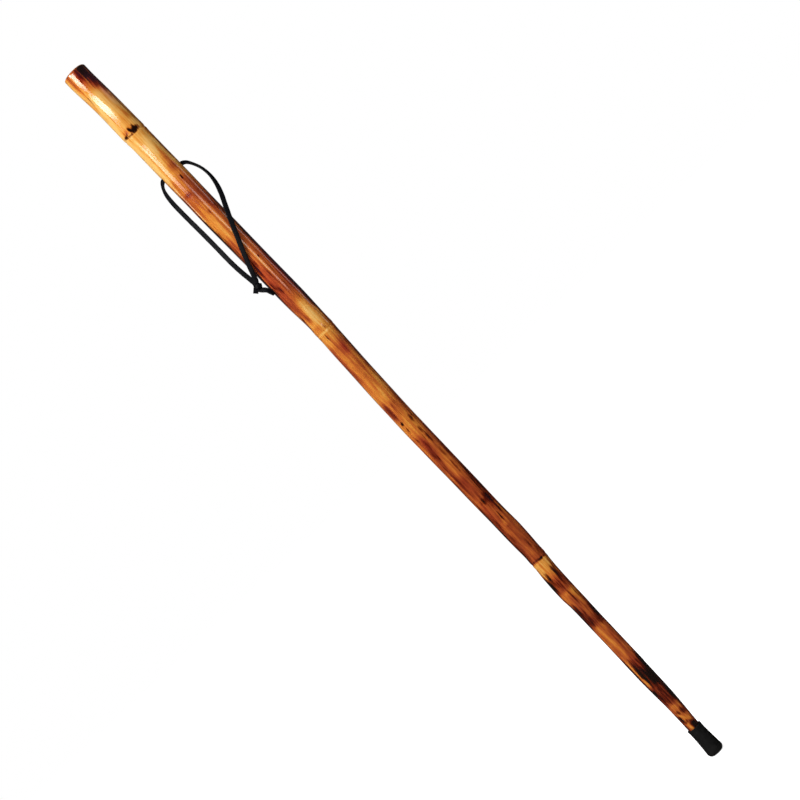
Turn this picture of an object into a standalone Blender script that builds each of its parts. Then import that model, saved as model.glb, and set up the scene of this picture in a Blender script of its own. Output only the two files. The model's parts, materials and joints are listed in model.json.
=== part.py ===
"""Straight natural-wood walking stick with a compass let into its grip end, a wrist loop of
flat lace through a cross hole, and a flared rubber tip.

The stick stands upright on its tip: +Z runs up the wood, +X is the side where the loop bulges
out, and -Y is the side where the loop crosses the wood. The origin is the centre of the tip's
flat underside. Every length is in metres.
"""
import math

import bmesh
import bpy
from mathutils import Matrix, Vector

# Clearances
GLUE_GAP = 0.0003            # between pieces that touch or are glued
CARD_GAP = 0.0004            # all round the turning card
JEWEL_HEADROOM = 0.0002      # between the turning card's cap and the lens

# Wood shaft
STICK_LENGTH = 1.2700        # underside of the rubber tip to the top of the grip end
GRIP_DIAMETER = 0.0350       # at the top end
FOOT_DIAMETER = 0.0240       # above the whittled end
SPIGOT_DIAMETER = 0.0180     # the turned end inside the rubber tip
WHITTLED_LENGTH = 0.1120     # the taper from the foot down to the spigot
DOME_DROP = 0.0050           # height of the rounding round the top end
DOME_LAND = 0.0004           # flat ring left between the dome and the recess
STATION_STEP = 0.0200        # spacing of the shaft's sections
SHAFT_RESOLUTION = 10        # of the curve's round section
DOME_STATIONS = 6

# Growth of the wood from the top end to the rubber tip: share of the bare length, thickness
# (0 is FOOT_DIAMETER, 1 is GRIP_DIAMETER) and sideways wander of the heart line
GROWTH = (
    (0.000, 1.09, -0.0051),
    (0.016, 1.07, -0.0047),
    (0.054, 0.94, -0.0023),
    (0.093, 0.95, -0.0013),
    (0.110, 0.88, -0.0008),
    (0.173, 0.91, 0.0002),
    (0.213, 0.92, 0.0006),
    (0.254, 0.87, 0.0015),
    (0.333, 0.80, 0.0035),
    (0.360, 0.72, 0.0041),
    (0.382, 0.55, 0.0046),
    (0.400, 0.50, 0.0044),
    (0.439, 0.50, 0.0034),
    (0.492, 0.44, 0.0019),
    (0.545, 0.41, 0.0013),
    (0.612, 0.35, 0.0020),
    (0.679, 0.28, 0.0027),
    (0.706, 0.34, 0.0031),
    (0.745, 0.11, 0.0029),
    (0.770, 0.16, 0.0011),
    (0.798, 0.19, 0.0002),
    (0.812, 0.07, 0.0008),
    (0.838, 0.00, 0.0011),
    (0.900, 0.00, 0.0011),
    (0.960, 0.00, 0.0009),
    (1.000, 0.00, 0.0000),
)

# Growth rings: distance below the top end, swelling above the ring and depth of its groove
KNOTS = (
    (0.1170, 0.0003, 0.0007),
    (0.4900, 0.0005, 0.0004),
    (0.9140, 0.0006, 0.0006),
)
KNOT_SWELL_LENGTH = 0.0070
KNOT_GROOVE_LENGTH = 0.0016
KNOT_SECTIONS = (-4.0, -2.0, -1.0, 0.0, 1.0, 2.0, 4.0)  # in lengths of the groove

# Cross hole for the lace
HOLE_BELOW_TOP = 0.1917
HOLE_DIAMETER = 0.0080
HOLE_MOUTH_BEVEL = 0.0008

# Compass
COMPASS_DIAMETER = 0.0200
COMPASS_HEIGHT = 0.0075
COMPASS_BELOW_TOP = 0.0036   # how far the compass sits below the top of the wood
RECESS_RIM_ROUND = 0.0010
CASE_WALL = 0.0013
CASE_FLOOR = 0.0012
CASE_EDGE_ROUND = 0.0004
LENS_THICKNESS = 0.0013
LENS_LEDGE = 0.0005          # width of the ledge that the lens rests on
LENS_CROWN = 0.0004
ADHESIVE_DIAMETER = 0.0160
ADHESIVE_THICKNESS = 0.0008
CARD_THICKNESS = 0.0004
MAGNET_LENGTH = 0.0110
MAGNET_WIDTH = 0.0040
MAGNET_THICKNESS = 0.0010
JEWEL_NECK_DIAMETER = 0.0022
JEWEL_CAP_DIAMETER = 0.0034
JEWEL_CAP_HEIGHT = 0.0011
PIVOT_DIAMETER = 0.0006
PIVOT_FOOT_DIAMETER = 0.0020
PIVOT_FOOT_HEIGHT = 0.0006

# Rubber tip
FERRULE_HEIGHT = 0.0470
FERRULE_WALL = 0.0015        # at the mouth
FERRULE_LIP = 0.0004         # how far the lip stands proud of the wall
FERRULE_LIP_HEIGHT = 0.0030
FERRULE_BASE_DIAMETER = 0.0250
FERRULE_BASE_ROUND = 0.0058
FERRULE_FLARE_HEIGHT = 0.0076  # where the flare is widest
FERRULE_FLARE_CURVE = 1.8    # how late the flare spreads: 1 is a straight cone
FERRULE_FLOOR = 0.0070
TREAD_CENTRE_DIAMETER = 0.0052
TREAD_GROOVE_WIDTH = 0.0011
TREAD_LAND_WIDTH = 0.0011
TREAD_GROOVE_DEPTH = 0.0010
TREAD_GROOVES = 2
WASHER_THICKNESS = 0.0016
WASHER_HOLE_DIAMETER = 0.0060

# Lace
LACE_WIDTH = 0.0070
LACE_THICKNESS = 0.0026
LACE_EDGE = 0.0007           # the rounding of the lace's corners

# The lace's route from the knot up the left side, through the cross hole and down the right
# side to the knot again: place from the hole's centre, and the turn of its flat face in degrees
LACE_ROUTE = (
    (-0.0222, -0.0084, -0.1826, 90),
    (-0.0229, -0.0083, -0.1760, 90),
    (-0.0243, -0.0080, -0.1650, 88),
    (-0.0256, -0.0070, -0.1505, 86),
    (-0.0261, -0.0056, -0.1345, 84),
    (-0.0263, -0.0042, -0.1180, 82),
    (-0.0267, -0.0028, -0.0990, 80),
    (-0.0272, -0.0018, -0.0827, 78),
    (-0.0278, -0.0010, -0.0664, 76),
    (-0.0283, -0.0004, -0.0488, 73),
    (-0.0285, 0.0000, -0.0352, 68),
    (-0.0280, 0.0000, -0.0244, 60),
    (-0.0270, 0.0000, -0.0163, 48),
    (-0.0252, 0.0000, -0.0102, 38),
    (-0.0226, 0.0000, -0.0052, 42),
    (-0.0203, 0.0000, -0.0024, 56),
    (-0.0177, 0.0000, -0.0006, 74),
    (-0.0145, 0.0000, 0.0000, 88),
    (0.0000, 0.0000, 0.0000, 90),
    (0.0145, 0.0000, 0.0000, 88),
    (0.0178, -0.0001, -0.0001, 76),
    (0.0206, -0.0002, -0.0013, 60),
    (0.0234, -0.0004, -0.0034, 46),
    (0.0266, -0.0008, -0.0080, 34),
    (0.0298, -0.0014, -0.0142, 28),
    (0.0324, -0.0022, -0.0210, 26),
    (0.0341, -0.0033, -0.0285, 26),
    (0.0348, -0.0047, -0.0370, 29),
    (0.0344, -0.0063, -0.0450, 36),
    (0.0331, -0.0082, -0.0530, 46),
    (0.0307, -0.0106, -0.0620, 60),
    (0.0277, -0.0130, -0.0705, 70),
    (0.0240, -0.0149, -0.0790, 75),
    (0.0199, -0.0165, -0.0885, 77),
    (0.0154, -0.0181, -0.0990, 80),
    (0.0098, -0.0194, -0.1125, 86),
    (0.0046, -0.0197, -0.1262, 90),
    (-0.0006, -0.0195, -0.1385, 95),
    (-0.0058, -0.0186, -0.1520, 100),
    (-0.0110, -0.0164, -0.1660, 103),
    (-0.0164, -0.0131, -0.1819, 100),
)
LACE_STATIONS = 66

# Knot: the two ends go through a wrap round a tight core, and leave as two tails. Places are
# from the hole's centre, and the tails' flat faces turn as the lace's do
KNOT_PLACE = (-0.0212, -0.0108, -0.1936)
KNOT_CORE_SIZE = (0.0094, 0.0100, 0.0112)
KNOT_WRAPS = ((-38, 0.0080, 0.0078), (31, 0.0088, 0.0090))  # tilt, size across and deep
LONG_TAIL_ROUTE = (
    (-0.0220, -0.0085, -0.1831, 64),
    (-0.0217, -0.0088, -0.1870, 62),
    (-0.0231, -0.0101, -0.1924, 60),
    (-0.0236, -0.0109, -0.1958, 65),
    (-0.0222, -0.0116, -0.1988, 71),
    (-0.0198, -0.0122, -0.2014, 71),
    (-0.0171, -0.0129, -0.2041, 60),
    (-0.0154, -0.0135, -0.2067, 42),
    (-0.0145, -0.0141, -0.2094, 28),
    (-0.0134, -0.0147, -0.2128, 20),
    (-0.0122, -0.0153, -0.2166, 15),
)
SHORT_TAIL_ROUTE = (
    (-0.0166, -0.0130, -0.1823, 72),
    (-0.0179, -0.0122, -0.1862, 66),
    (-0.0212, -0.0116, -0.1901, 62),
    (-0.0256, -0.0111, -0.1941, 62),
    (-0.0302, -0.0109, -0.1984, 62),
)
TAIL_STATIONS = 12


def mix(low, high, share):
    return low + (high - low) * share


def smooth_value(stations, column, position):
    """Read a column of a table of stations as one smooth curve through them all."""
    last = len(stations) - 1
    index = 0
    while index < last - 1 and stations[index + 1][0] < position:
        index += 1
    here, there = stations[index], stations[index + 1]
    before = stations[max(index - 1, 0)]
    after = stations[min(index + 2, last)]
    span = there[0] - here[0]
    share = min(max((position - here[0]) / span, 0.0), 1.0)
    slope_here = (there[column] - before[column]) / (there[0] - before[0]) * span
    slope_there = (after[column] - here[column]) / (after[0] - here[0]) * span
    square, cube = share * share, share * share * share
    return (
        here[column] * (2 * cube - 3 * square + 1)
        + slope_here * (cube - 2 * square + share)
        + there[column] * (3 * square - 2 * cube)
        + slope_there * (cube - square)
    )


def smooth_route(points, count):
    """Evenly spaced places and turns along one smooth curve through a route's points."""
    places = [Vector(point[:3]) for point in points]
    run = [0.0]
    for near, far in zip(places, places[1:]):
        run.append(run[-1] + (far - near).length)
    table = [(run[i], *points[i]) for i in range(len(points))]
    result = []
    for i in range(count):
        position = run[-1] * i / (count - 1)
        values = [smooth_value(table, column, position) for column in range(1, 5)]
        result.append((Vector(values[:3]), values[3]))
    return result


# Heights and places that follow from the sizes above
BARE_LENGTH = STICK_LENGTH - FERRULE_HEIGHT
RECESS_DIAMETER = COMPASS_DIAMETER + 2 * GLUE_GAP
CASE_TOP = STICK_LENGTH - COMPASS_BELOW_TOP
CASE_BOTTOM = CASE_TOP - COMPASS_HEIGHT
ADHESIVE_BOTTOM = CASE_BOTTOM - GLUE_GAP - ADHESIVE_THICKNESS
RECESS_BOTTOM = ADHESIVE_BOTTOM - GLUE_GAP
HOLE_HEIGHT = STICK_LENGTH - HOLE_BELOW_TOP
WASHER_BOTTOM = FERRULE_FLOOR + GLUE_GAP
SPIGOT_END = WASHER_BOTTOM + WASHER_THICKNESS + GLUE_GAP
FERRULE_SOCKET_DIAMETER = SPIGOT_DIAMETER + 2 * GLUE_GAP
WASHER_DIAMETER = FERRULE_SOCKET_DIAMETER - 2 * GLUE_GAP
CAVITY_DIAMETER = COMPASS_DIAMETER - 2 * CASE_WALL
LENS_BOTTOM = COMPASS_HEIGHT - LENS_THICKNESS
CARD_DIAMETER = CAVITY_DIAMETER - 2 * CARD_GAP
CARD_TOP = LENS_BOTTOM - JEWEL_HEADROOM - JEWEL_CAP_HEIGHT - GLUE_GAP
CARD_HEIGHT = CARD_TOP - CARD_THICKNESS  # its underside above the case's underside
CARD_BORE_DIAMETER = JEWEL_NECK_DIAMETER + 2 * GLUE_GAP
JEWEL_BORE_DIAMETER = PIVOT_DIAMETER + 2 * GLUE_GAP
LENS_DIAMETER = CAVITY_DIAMETER + 2 * LENS_LEDGE - 2 * GLUE_GAP


def wander(height):
    """Sideways place of the heart line at a height above the floor."""
    share = (STICK_LENGTH - height) / BARE_LENGTH
    top_share = (STICK_LENGTH - RECESS_BOTTOM + DOME_DROP) / BARE_LENGTH
    return smooth_value(GROWTH, 2, min(max(share, top_share), 1.0))


def wood_radius(height):
    """Radius of the wood at a height above the floor, with its whittled foot and its knots."""
    below_top = STICK_LENGTH - height
    share = below_top / BARE_LENGTH
    radius = mix(FOOT_DIAMETER, GRIP_DIAMETER, smooth_value(GROWTH, 1, min(share, 1.0))) / 2
    whittled = (WHITTLED_LENGTH - (height - FERRULE_HEIGHT)) / WHITTLED_LENGTH
    if whittled > 0:
        fall = math.cos(min(whittled, 1.0) * math.pi / 2)
        radius = mix(SPIGOT_DIAMETER / 2, radius, fall)
    for knot, swell, groove in KNOTS:
        away = below_top - knot
        radius += swell * math.exp(-((away + KNOT_SWELL_LENGTH / 2) / KNOT_SWELL_LENGTH) ** 2)
        radius -= groove * math.exp(-((away / KNOT_GROOVE_LENGTH) ** 2))
    if below_top < DOME_DROP:
        reach = math.sqrt(1 - (1 - below_top / DOME_DROP) ** 2)
        flat = RECESS_DIAMETER / 2 + RECESS_RIM_ROUND + DOME_LAND
        radius = mix(flat, radius, reach)
    return radius


GRIP_PLACE = Vector((wander(STICK_LENGTH), 0, 0))
HOLE_PLACE = Vector((wander(HOLE_HEIGHT), 0, HOLE_HEIGHT))


def start_scene():
    for old in list(bpy.data.objects):
        bpy.data.objects.remove(old)
    parts = bpy.data.collections.new("walking_stick")
    guides = bpy.data.collections.new("cutters_and_guides")
    bpy.context.scene.collection.children.link(parts)
    bpy.context.scene.collection.children.link(guides)
    return parts, guides


PARTS, GUIDES = start_scene()


def material(name, colour, roughness, metallic=0.0, alpha=1.0):
    new = bpy.data.materials.new(name)
    new.use_nodes = True
    shader = new.node_tree.nodes["Principled BSDF"]
    shader.inputs["Base Color"].default_value = (*colour, 1.0)
    shader.inputs["Roughness"].default_value = roughness
    shader.inputs["Metallic"].default_value = metallic
    shader.inputs["Alpha"].default_value = alpha
    return new


def add_object(name, data, collection, finish=None):
    new = bpy.data.objects.new(name, data)
    collection.objects.link(new)
    if finish is not None:
        data.materials.append(finish)
    return new


def make_guide(guide):
    guide.hide_render = True
    guide.display_type = "WIRE"
    return guide


def turned(name, profile, collection, finish=None, steps=40, ring=False):
    """A turned solid: a profile of (radius, height) points that runs down its outer side. A
    ring's profile closes on itself, and any other starts and ends on the axis."""
    mesh = bpy.data.meshes.new(name)
    points = [(radius, 0.0, height) for radius, height in profile]
    edges = [(i, i + 1) for i in range(len(points) - 1)]
    if ring:
        edges.append((len(points) - 1, 0))
    mesh.from_pydata(points, edges, [])
    new = add_object(name, mesh, collection, finish)
    screw = new.modifiers.new("turn", "SCREW")
    screw.axis = "Z"
    screw.steps = steps
    screw.render_steps = steps
    screw.use_merge_vertices = True
    screw.merge_threshold = 0.00001
    screw.use_smooth_shade = False
    return new


def quarter_round(centre, radius, start, turn, count=4):
    """Points of a quarter circle about a centre, from a start angle through a turn in degrees."""
    points = []
    for i in range(count + 1):
        angle = math.radians(start + turn * i / count)
        points.append((centre[0] + radius * math.cos(angle), centre[1] + radius * math.sin(angle)))
    return points


def curve_object(name, stations, collection, depth=0.0, profile=None):
    """A poly curve through stations of (place, radius share, turn in degrees), either round or
    with a guide's profile."""
    data = bpy.data.curves.new(name, "CURVE")
    data.dimensions = "3D"
    data.twist_mode = "MINIMUM"
    data.use_fill_caps = True
    data.bevel_resolution = SHAFT_RESOLUTION
    if profile is None:
        data.bevel_depth = depth
    else:
        data.bevel_mode = "OBJECT"
        data.bevel_object = profile
    spline = data.splines.new("POLY")
    spline.points.add(len(stations) - 1)
    for point, (place, share, turn) in zip(spline.points, stations):
        point.co = (*place, 1.0)
        point.radius = share
        point.tilt = math.radians(turn)
    return add_object(name, data, collection)


def as_mesh(curve, finish):
    """Turn a curve object into a mesh object of the same name, with its caps welded on."""
    name, collection = curve.name, curve.users_collection[0]
    seen = curve.evaluated_get(bpy.context.evaluated_depsgraph_get())
    mesh = bpy.data.meshes.new_from_object(seen)
    shape = bmesh.new()
    shape.from_mesh(mesh)
    bmesh.ops.remove_doubles(shape, verts=shape.verts, dist=0.00001)
    bmesh.ops.recalc_face_normals(shape, faces=shape.faces)
    shape.to_mesh(mesh)
    shape.free()
    mesh.materials.clear()
    place = curve.matrix_world.copy()
    data = curve.data
    bpy.data.objects.remove(curve)
    bpy.data.curves.remove(data)
    mesh.name = name
    new = add_object(name, mesh, collection, finish)
    new.matrix_world = place
    return new


def boolean(target, tool, operation):
    cut = target.modifiers.new(operation.lower() + "_" + tool.name, "BOOLEAN")
    cut.operation = operation
    cut.solver = "EXACT"
    cut.object = tool
    return cut


# Wood shaft, grown with a slight bend, with its end domed, bored and drilled
def build_shaft():
    finish = material("lacquered_wood", (0.45, 0.16, 0.04), 0.22)
    heights = []
    steps = round(BARE_LENGTH / STATION_STEP)
    for i in range(1, steps + 1):
        heights.append(STICK_LENGTH - BARE_LENGTH * i / steps)
    for knot, _, _ in KNOTS:
        middle = STICK_LENGTH - knot
        heights = [height for height in heights if abs(height - middle) > KNOT_SWELL_LENGTH]
        for section in KNOT_SECTIONS:
            heights.append(middle + section * KNOT_GROOVE_LENGTH)
    heights = [height for height in heights if height < STICK_LENGTH - DOME_DROP * 1.5]
    for i in range(DOME_STATIONS + 1):
        angle = math.pi / 2 * i / DOME_STATIONS
        heights.append(STICK_LENGTH - DOME_DROP * (1 - math.cos(angle)))
    heights.append(SPIGOT_END)
    heights.sort()
    stations = []
    for height in heights:
        stations.append((Vector((wander(height), 0, height)), wood_radius(height), 0))
    shaft = as_mesh(curve_object("shaft", stations, PARTS, depth=1.0), finish)

    rim = STICK_LENGTH - RECESS_RIM_ROUND
    outer = RECESS_DIAMETER / 2 + RECESS_RIM_ROUND
    profile = [(0, STICK_LENGTH + DOME_DROP), (outer, STICK_LENGTH + DOME_DROP)]
    profile += quarter_round((outer, rim), RECESS_RIM_ROUND, 90, 90)
    profile += [(RECESS_DIAMETER / 2, RECESS_BOTTOM), (0, RECESS_BOTTOM)]
    recess = make_guide(turned("recess_cutter", profile, GUIDES, steps=48))
    recess.location = GRIP_PLACE
    boolean(shaft, recess, "DIFFERENCE")

    reach = GRIP_DIAMETER
    side = wood_radius(HOLE_HEIGHT)
    hole = HOLE_DIAMETER / 2
    flare = side - HOLE_MOUTH_BEVEL
    wide = hole + (reach - flare)
    profile = [(0, reach), (wide, reach), (hole, flare), (hole, -flare), (wide, -reach)]
    profile.append((0, -reach))
    drill = make_guide(turned("cross_hole_cutter", profile, GUIDES, steps=24))
    drill.location = HOLE_PLACE
    drill.rotation_euler = (0, math.pi / 2, 0)
    boolean(shaft, drill, "DIFFERENCE")
    return shaft


# Compass: case, adhesive, pivot, card with its magnet and jewel, and lens
def build_compass():
    black = material("compass_black", (0.012, 0.012, 0.014), 0.35)
    glue = material("compass_glue", (0.75, 0.72, 0.62), 0.5)
    steel = material("pivot_steel", (0.6, 0.6, 0.6), 0.25, 1.0)
    magnet_steel = material("magnet_steel", (0.25, 0.25, 0.27), 0.4, 1.0)
    brass = material("jewel_brass", (0.55, 0.48, 0.33), 0.3, 1.0)
    clear = material("lens_clear", (0.95, 0.97, 0.98), 0.05, 0.0, 0.25)

    outer, cavity = COMPASS_DIAMETER / 2, CAVITY_DIAMETER / 2
    ledge = cavity + LENS_LEDGE
    seat = LENS_BOTTOM - GLUE_GAP
    foot = PIVOT_FOOT_DIAMETER / 2 + GLUE_GAP
    foot_floor = CASE_FLOOR - PIVOT_FOOT_HEIGHT
    top = COMPASS_HEIGHT
    profile = [(0, foot_floor), (foot, foot_floor), (foot, CASE_FLOOR), (cavity, CASE_FLOOR)]
    profile += [(cavity, seat), (ledge, seat), (ledge, top)]
    corner = (outer - CASE_EDGE_ROUND, top - CASE_EDGE_ROUND)
    profile += quarter_round(corner, CASE_EDGE_ROUND, 90, -90)
    profile += [(outer, CASE_EDGE_ROUND), (outer - CASE_EDGE_ROUND, 0), (0, 0)]
    place = GRIP_PLACE + Vector((0, 0, CASE_BOTTOM))
    case = turned("compass_case", profile, PARTS, black, steps=40)
    case.location = place

    pad = ADHESIVE_DIAMETER / 2
    profile = [(0, ADHESIVE_THICKNESS), (pad, ADHESIVE_THICKNESS), (pad, 0), (0, 0)]
    adhesive = turned("compass_adhesive", profile, PARTS, glue, steps=32)
    adhesive.location = GRIP_PLACE + Vector((0, 0, ADHESIVE_BOTTOM))

    jewel_bottom = CARD_HEIGHT - GLUE_GAP - MAGNET_THICKNESS
    cap_bottom = CARD_TOP + GLUE_GAP
    bore, neck, cap = JEWEL_BORE_DIAMETER / 2, JEWEL_NECK_DIAMETER / 2, JEWEL_CAP_DIAMETER / 2
    tip = cap_bottom + JEWEL_CAP_HEIGHT / 2
    pin, pin_foot = PIVOT_DIAMETER / 2, PIVOT_FOOT_DIAMETER / 2
    pin_foot_bottom = foot_floor + GLUE_GAP
    pin_foot_top = pin_foot_bottom + PIVOT_FOOT_HEIGHT
    profile = [(0, tip - GLUE_GAP), (pin, tip - GLUE_GAP - 2 * pin), (pin, pin_foot_top)]
    profile += [(pin_foot, pin_foot_top), (pin_foot, pin_foot_bottom), (0, pin_foot_bottom)]
    pivot = turned("compass_pivot", profile, PARTS, steel, steps=24)
    pivot.location = place

    card_turn = bpy.data.objects.new("card_turn", None)
    card_turn.location = place
    PARTS.objects.link(card_turn)

    disc, hole = CARD_DIAMETER / 2, CARD_BORE_DIAMETER / 2
    profile = [(hole, CARD_TOP), (disc, CARD_TOP), (disc, CARD_HEIGHT), (hole, CARD_HEIGHT)]
    card = turned("compass_card", profile, PARTS, black, steps=48, ring=True)
    card.parent = card_turn

    profile = [(0, tip), (bore, tip - 2 * bore + PIVOT_DIAMETER), (bore, jewel_bottom)]
    profile += [(neck, jewel_bottom), (neck, cap_bottom), (cap, cap_bottom)]
    crown = cap_bottom + JEWEL_CAP_HEIGHT
    for i in range(5):
        angle = math.pi / 2 * i / 4
        rise = mix(cap_bottom + GLUE_GAP, crown, math.sin(angle))
        profile.append((cap * math.cos(angle), rise))
    profile[-1] = (0, crown)
    jewel = turned("compass_jewel", list(reversed(profile)), PARTS, brass, steps=24)
    jewel.parent = card_turn

    bpy.ops.mesh.primitive_cube_add(size=1)
    magnet = bpy.context.object
    magnet.name = "compass_magnet"
    magnet.data.transform(Matrix.Diagonal((MAGNET_WIDTH, MAGNET_LENGTH, MAGNET_THICKNESS, 1)))
    magnet.data.materials.append(magnet_steel)
    for collection in list(magnet.users_collection):
        collection.objects.unlink(magnet)
    PARTS.objects.link(magnet)
    magnet.parent = card_turn
    magnet.location = (0, 0, CARD_HEIGHT - GLUE_GAP - MAGNET_THICKNESS / 2)
    profile = [(0, COMPASS_HEIGHT), (hole, COMPASS_HEIGHT), (hole, 0), (0, 0)]
    punch = make_guide(turned("magnet_cutter", profile, GUIDES, steps=24))
    punch.location = place
    boolean(magnet, punch, "DIFFERENCE")

    lens = LENS_DIAMETER / 2
    profile = []
    for i in range(7):
        share = i / 6
        rise = COMPASS_HEIGHT + LENS_CROWN * (1 - share * share)
        profile.append((lens * share, rise))
    profile += [(lens, LENS_BOTTOM), (0, LENS_BOTTOM)]
    cover = turned("compass_lens", profile, PARTS, clear, steps=40)
    cover.location = place


# Rubber tip with its steel washer
def build_ferrule():
    rubber = material("tip_rubber", (0.018, 0.017, 0.016), 0.75)
    zinc = material("washer_zinc", (0.55, 0.56, 0.58), 0.35, 1.0)
    socket = FERRULE_SOCKET_DIAMETER / 2
    mouth = socket + FERRULE_WALL
    lip = mouth + FERRULE_LIP
    base = FERRULE_BASE_DIAMETER / 2
    top = FERRULE_HEIGHT
    profile = [(0, FERRULE_FLOOR), (socket, FERRULE_FLOOR), (socket, top)]
    profile += quarter_round((lip - FERRULE_LIP, top - FERRULE_LIP), FERRULE_LIP, 90, -90, 3)
    profile += [(lip, top - FERRULE_LIP_HEIGHT + FERRULE_LIP), (mouth, top - FERRULE_LIP_HEIGHT)]
    flare_top = top - FERRULE_LIP_HEIGHT
    for i in range(1, 9):
        share = i / 8
        height = mix(flare_top, FERRULE_FLARE_HEIGHT, share)
        profile.append((mix(mouth, base, share ** FERRULE_FLARE_CURVE), height))
    profile += quarter_round(
        (base - FERRULE_BASE_ROUND, FERRULE_BASE_ROUND), FERRULE_BASE_ROUND, 0, -90
    )
    groove = TREAD_CENTRE_DIAMETER / 2
    treads = []
    for _ in range(TREAD_GROOVES):
        treads += [(groove, 0), (groove, TREAD_GROOVE_DEPTH)]
        groove += TREAD_GROOVE_WIDTH
        treads += [(groove, TREAD_GROOVE_DEPTH), (groove, 0)]
        groove += TREAD_LAND_WIDTH
    profile += list(reversed(treads))
    profile.append((0, 0))
    turned("ferrule", profile, PARTS, rubber, steps=40)

    disc, hole = WASHER_DIAMETER / 2, WASHER_HOLE_DIAMETER / 2
    thick = WASHER_THICKNESS
    profile = [(hole, thick), (disc, thick), (disc, 0), (hole, 0)]
    washer = turned("ferrule_washer", profile, PARTS, zinc, steps=32, ring=True)
    washer.location = (0, 0, WASHER_BOTTOM)


def lace_profile():
    """The lace's cross-section, a flat strip with its corners taken off, as a guide curve."""
    wide, thick, edge = LACE_WIDTH / 2, LACE_THICKNESS / 2, LACE_EDGE
    data = bpy.data.curves.new("lace_section", "CURVE")
    data.dimensions = "2D"
    corners = []
    for across, up in ((1, 1), (-1, 1), (-1, -1), (1, -1)):
        first = (across * wide, up * (thick - edge))
        second = (across * (wide - edge), up * thick)
        corners += [first, second] if across * up > 0 else [second, first]
    spline = data.splines.new("POLY")
    spline.points.add(len(corners) - 1)
    spline.use_cyclic_u = True
    for point, (across, up) in zip(spline.points, corners):
        point.co = (across, up, 0, 1)
    return make_guide(add_object("lace_section", data, GUIDES))


# Wrist loop: one flat lace, knotted at its two ends
def build_strap():
    leather = material("lace_leather", (0.02, 0.02, 0.022), 0.55)
    section = lace_profile()
    swing = bpy.data.objects.new("strap_swing", None)
    swing.location = HOLE_PLACE
    PARTS.objects.link(swing)

    stations = []
    for place, turn in smooth_route(LACE_ROUTE, LACE_STATIONS):
        stations.append((place, 1.0, turn))
    strap = as_mesh(curve_object("strap", stations, PARTS, profile=section), leather)
    strap.parent = swing

    bpy.ops.mesh.primitive_uv_sphere_add(segments=16, ring_count=10, radius=0.5)
    knot = bpy.context.object
    knot.name = "strap_knot"
    knot.data.transform(Matrix.Diagonal((*KNOT_CORE_SIZE, 1)))
    knot.data.transform(Matrix.Translation(Vector(KNOT_PLACE)))
    knot.data.materials.append(leather)
    for collection in list(knot.users_collection):
        collection.objects.unlink(knot)
    PARTS.objects.link(knot)
    knot.parent = swing

    half, wide, edge = LACE_THICKNESS / 2, LACE_WIDTH / 2, LACE_EDGE
    for number, (angle, across, deep) in enumerate(KNOT_WRAPS, 1):
        middle = across / 2
        profile = [(middle - half + edge, wide), (middle + half - edge, wide)]
        profile += [(middle + half, wide - edge), (middle + half, edge - wide)]
        profile += [(middle + half - edge, -wide), (middle - half + edge, -wide)]
        profile += [(middle - half, edge - wide), (middle - half, wide - edge)]
        wrap = make_guide(turned(f"knot_wrap_{number}", profile, GUIDES, steps=20, ring=True))
        tilt = Matrix.Rotation(math.radians(angle), 4, "Y")
        flatten = Matrix.Diagonal((1, deep / across, 1, 1))
        wrap.matrix_world = Matrix.Translation(HOLE_PLACE + Vector(KNOT_PLACE)) @ tilt @ flatten
        boolean(knot, wrap, "UNION")

    for name, route in (("long_tail", LONG_TAIL_ROUTE), ("short_tail", SHORT_TAIL_ROUTE)):
        stations = [(place, 1.0, turn) for place, turn in smooth_route(route, TAIL_STATIONS)]
        tail = curve_object(name, stations, GUIDES, profile=section)
        tail.location = HOLE_PLACE
        bpy.context.view_layer.update()
        boolean(knot, make_guide(as_mesh(tail, leather)), "UNION")


build_shaft()
build_compass()
build_ferrule()
build_strap()
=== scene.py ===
"""Looks of a natural-wood walking stick: flame-burnt lacquered wood, a button compass let into
the grip end, a wrist loop of black lace and a flared rubber tip. Every length is in metres."""
import json
import math

import bmesh
import bpy
import numpy as np
from mathutils import Matrix, Vector, noise


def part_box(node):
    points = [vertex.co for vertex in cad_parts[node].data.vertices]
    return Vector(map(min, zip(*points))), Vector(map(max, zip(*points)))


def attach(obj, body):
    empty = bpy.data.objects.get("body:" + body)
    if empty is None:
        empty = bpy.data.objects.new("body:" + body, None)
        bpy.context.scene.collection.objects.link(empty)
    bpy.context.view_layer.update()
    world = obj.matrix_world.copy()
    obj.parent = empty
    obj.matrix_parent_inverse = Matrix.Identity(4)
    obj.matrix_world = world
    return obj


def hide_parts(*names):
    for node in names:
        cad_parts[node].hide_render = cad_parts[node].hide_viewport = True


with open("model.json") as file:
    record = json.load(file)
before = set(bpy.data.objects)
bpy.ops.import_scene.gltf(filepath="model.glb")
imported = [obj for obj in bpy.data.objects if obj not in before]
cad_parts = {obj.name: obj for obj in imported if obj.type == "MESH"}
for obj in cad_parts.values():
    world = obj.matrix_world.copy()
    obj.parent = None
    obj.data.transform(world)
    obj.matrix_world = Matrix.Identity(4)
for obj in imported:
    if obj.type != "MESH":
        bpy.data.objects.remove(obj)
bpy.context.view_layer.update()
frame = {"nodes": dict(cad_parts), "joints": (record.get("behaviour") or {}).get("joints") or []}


# Camera. The stick is seen from its front, square on to the wood, with the camera rolled so
# that the grip end lies at the upper left and the rubber tip at the lower right.
view_middle = Vector((0.0133, 0.0, 0.642))
view_width = 1.084
eye_distance = 2.6
roll_right = Vector((0.72839, 0.0, -0.68516))
roll_up = Vector((0.68516, 0.0, 0.72839))


def placed(name, data):
    """A new object of the scene, at the origin."""
    made = bpy.data.objects.new(name, data)
    bpy.context.scene.collection.objects.link(made)
    return made


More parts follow.
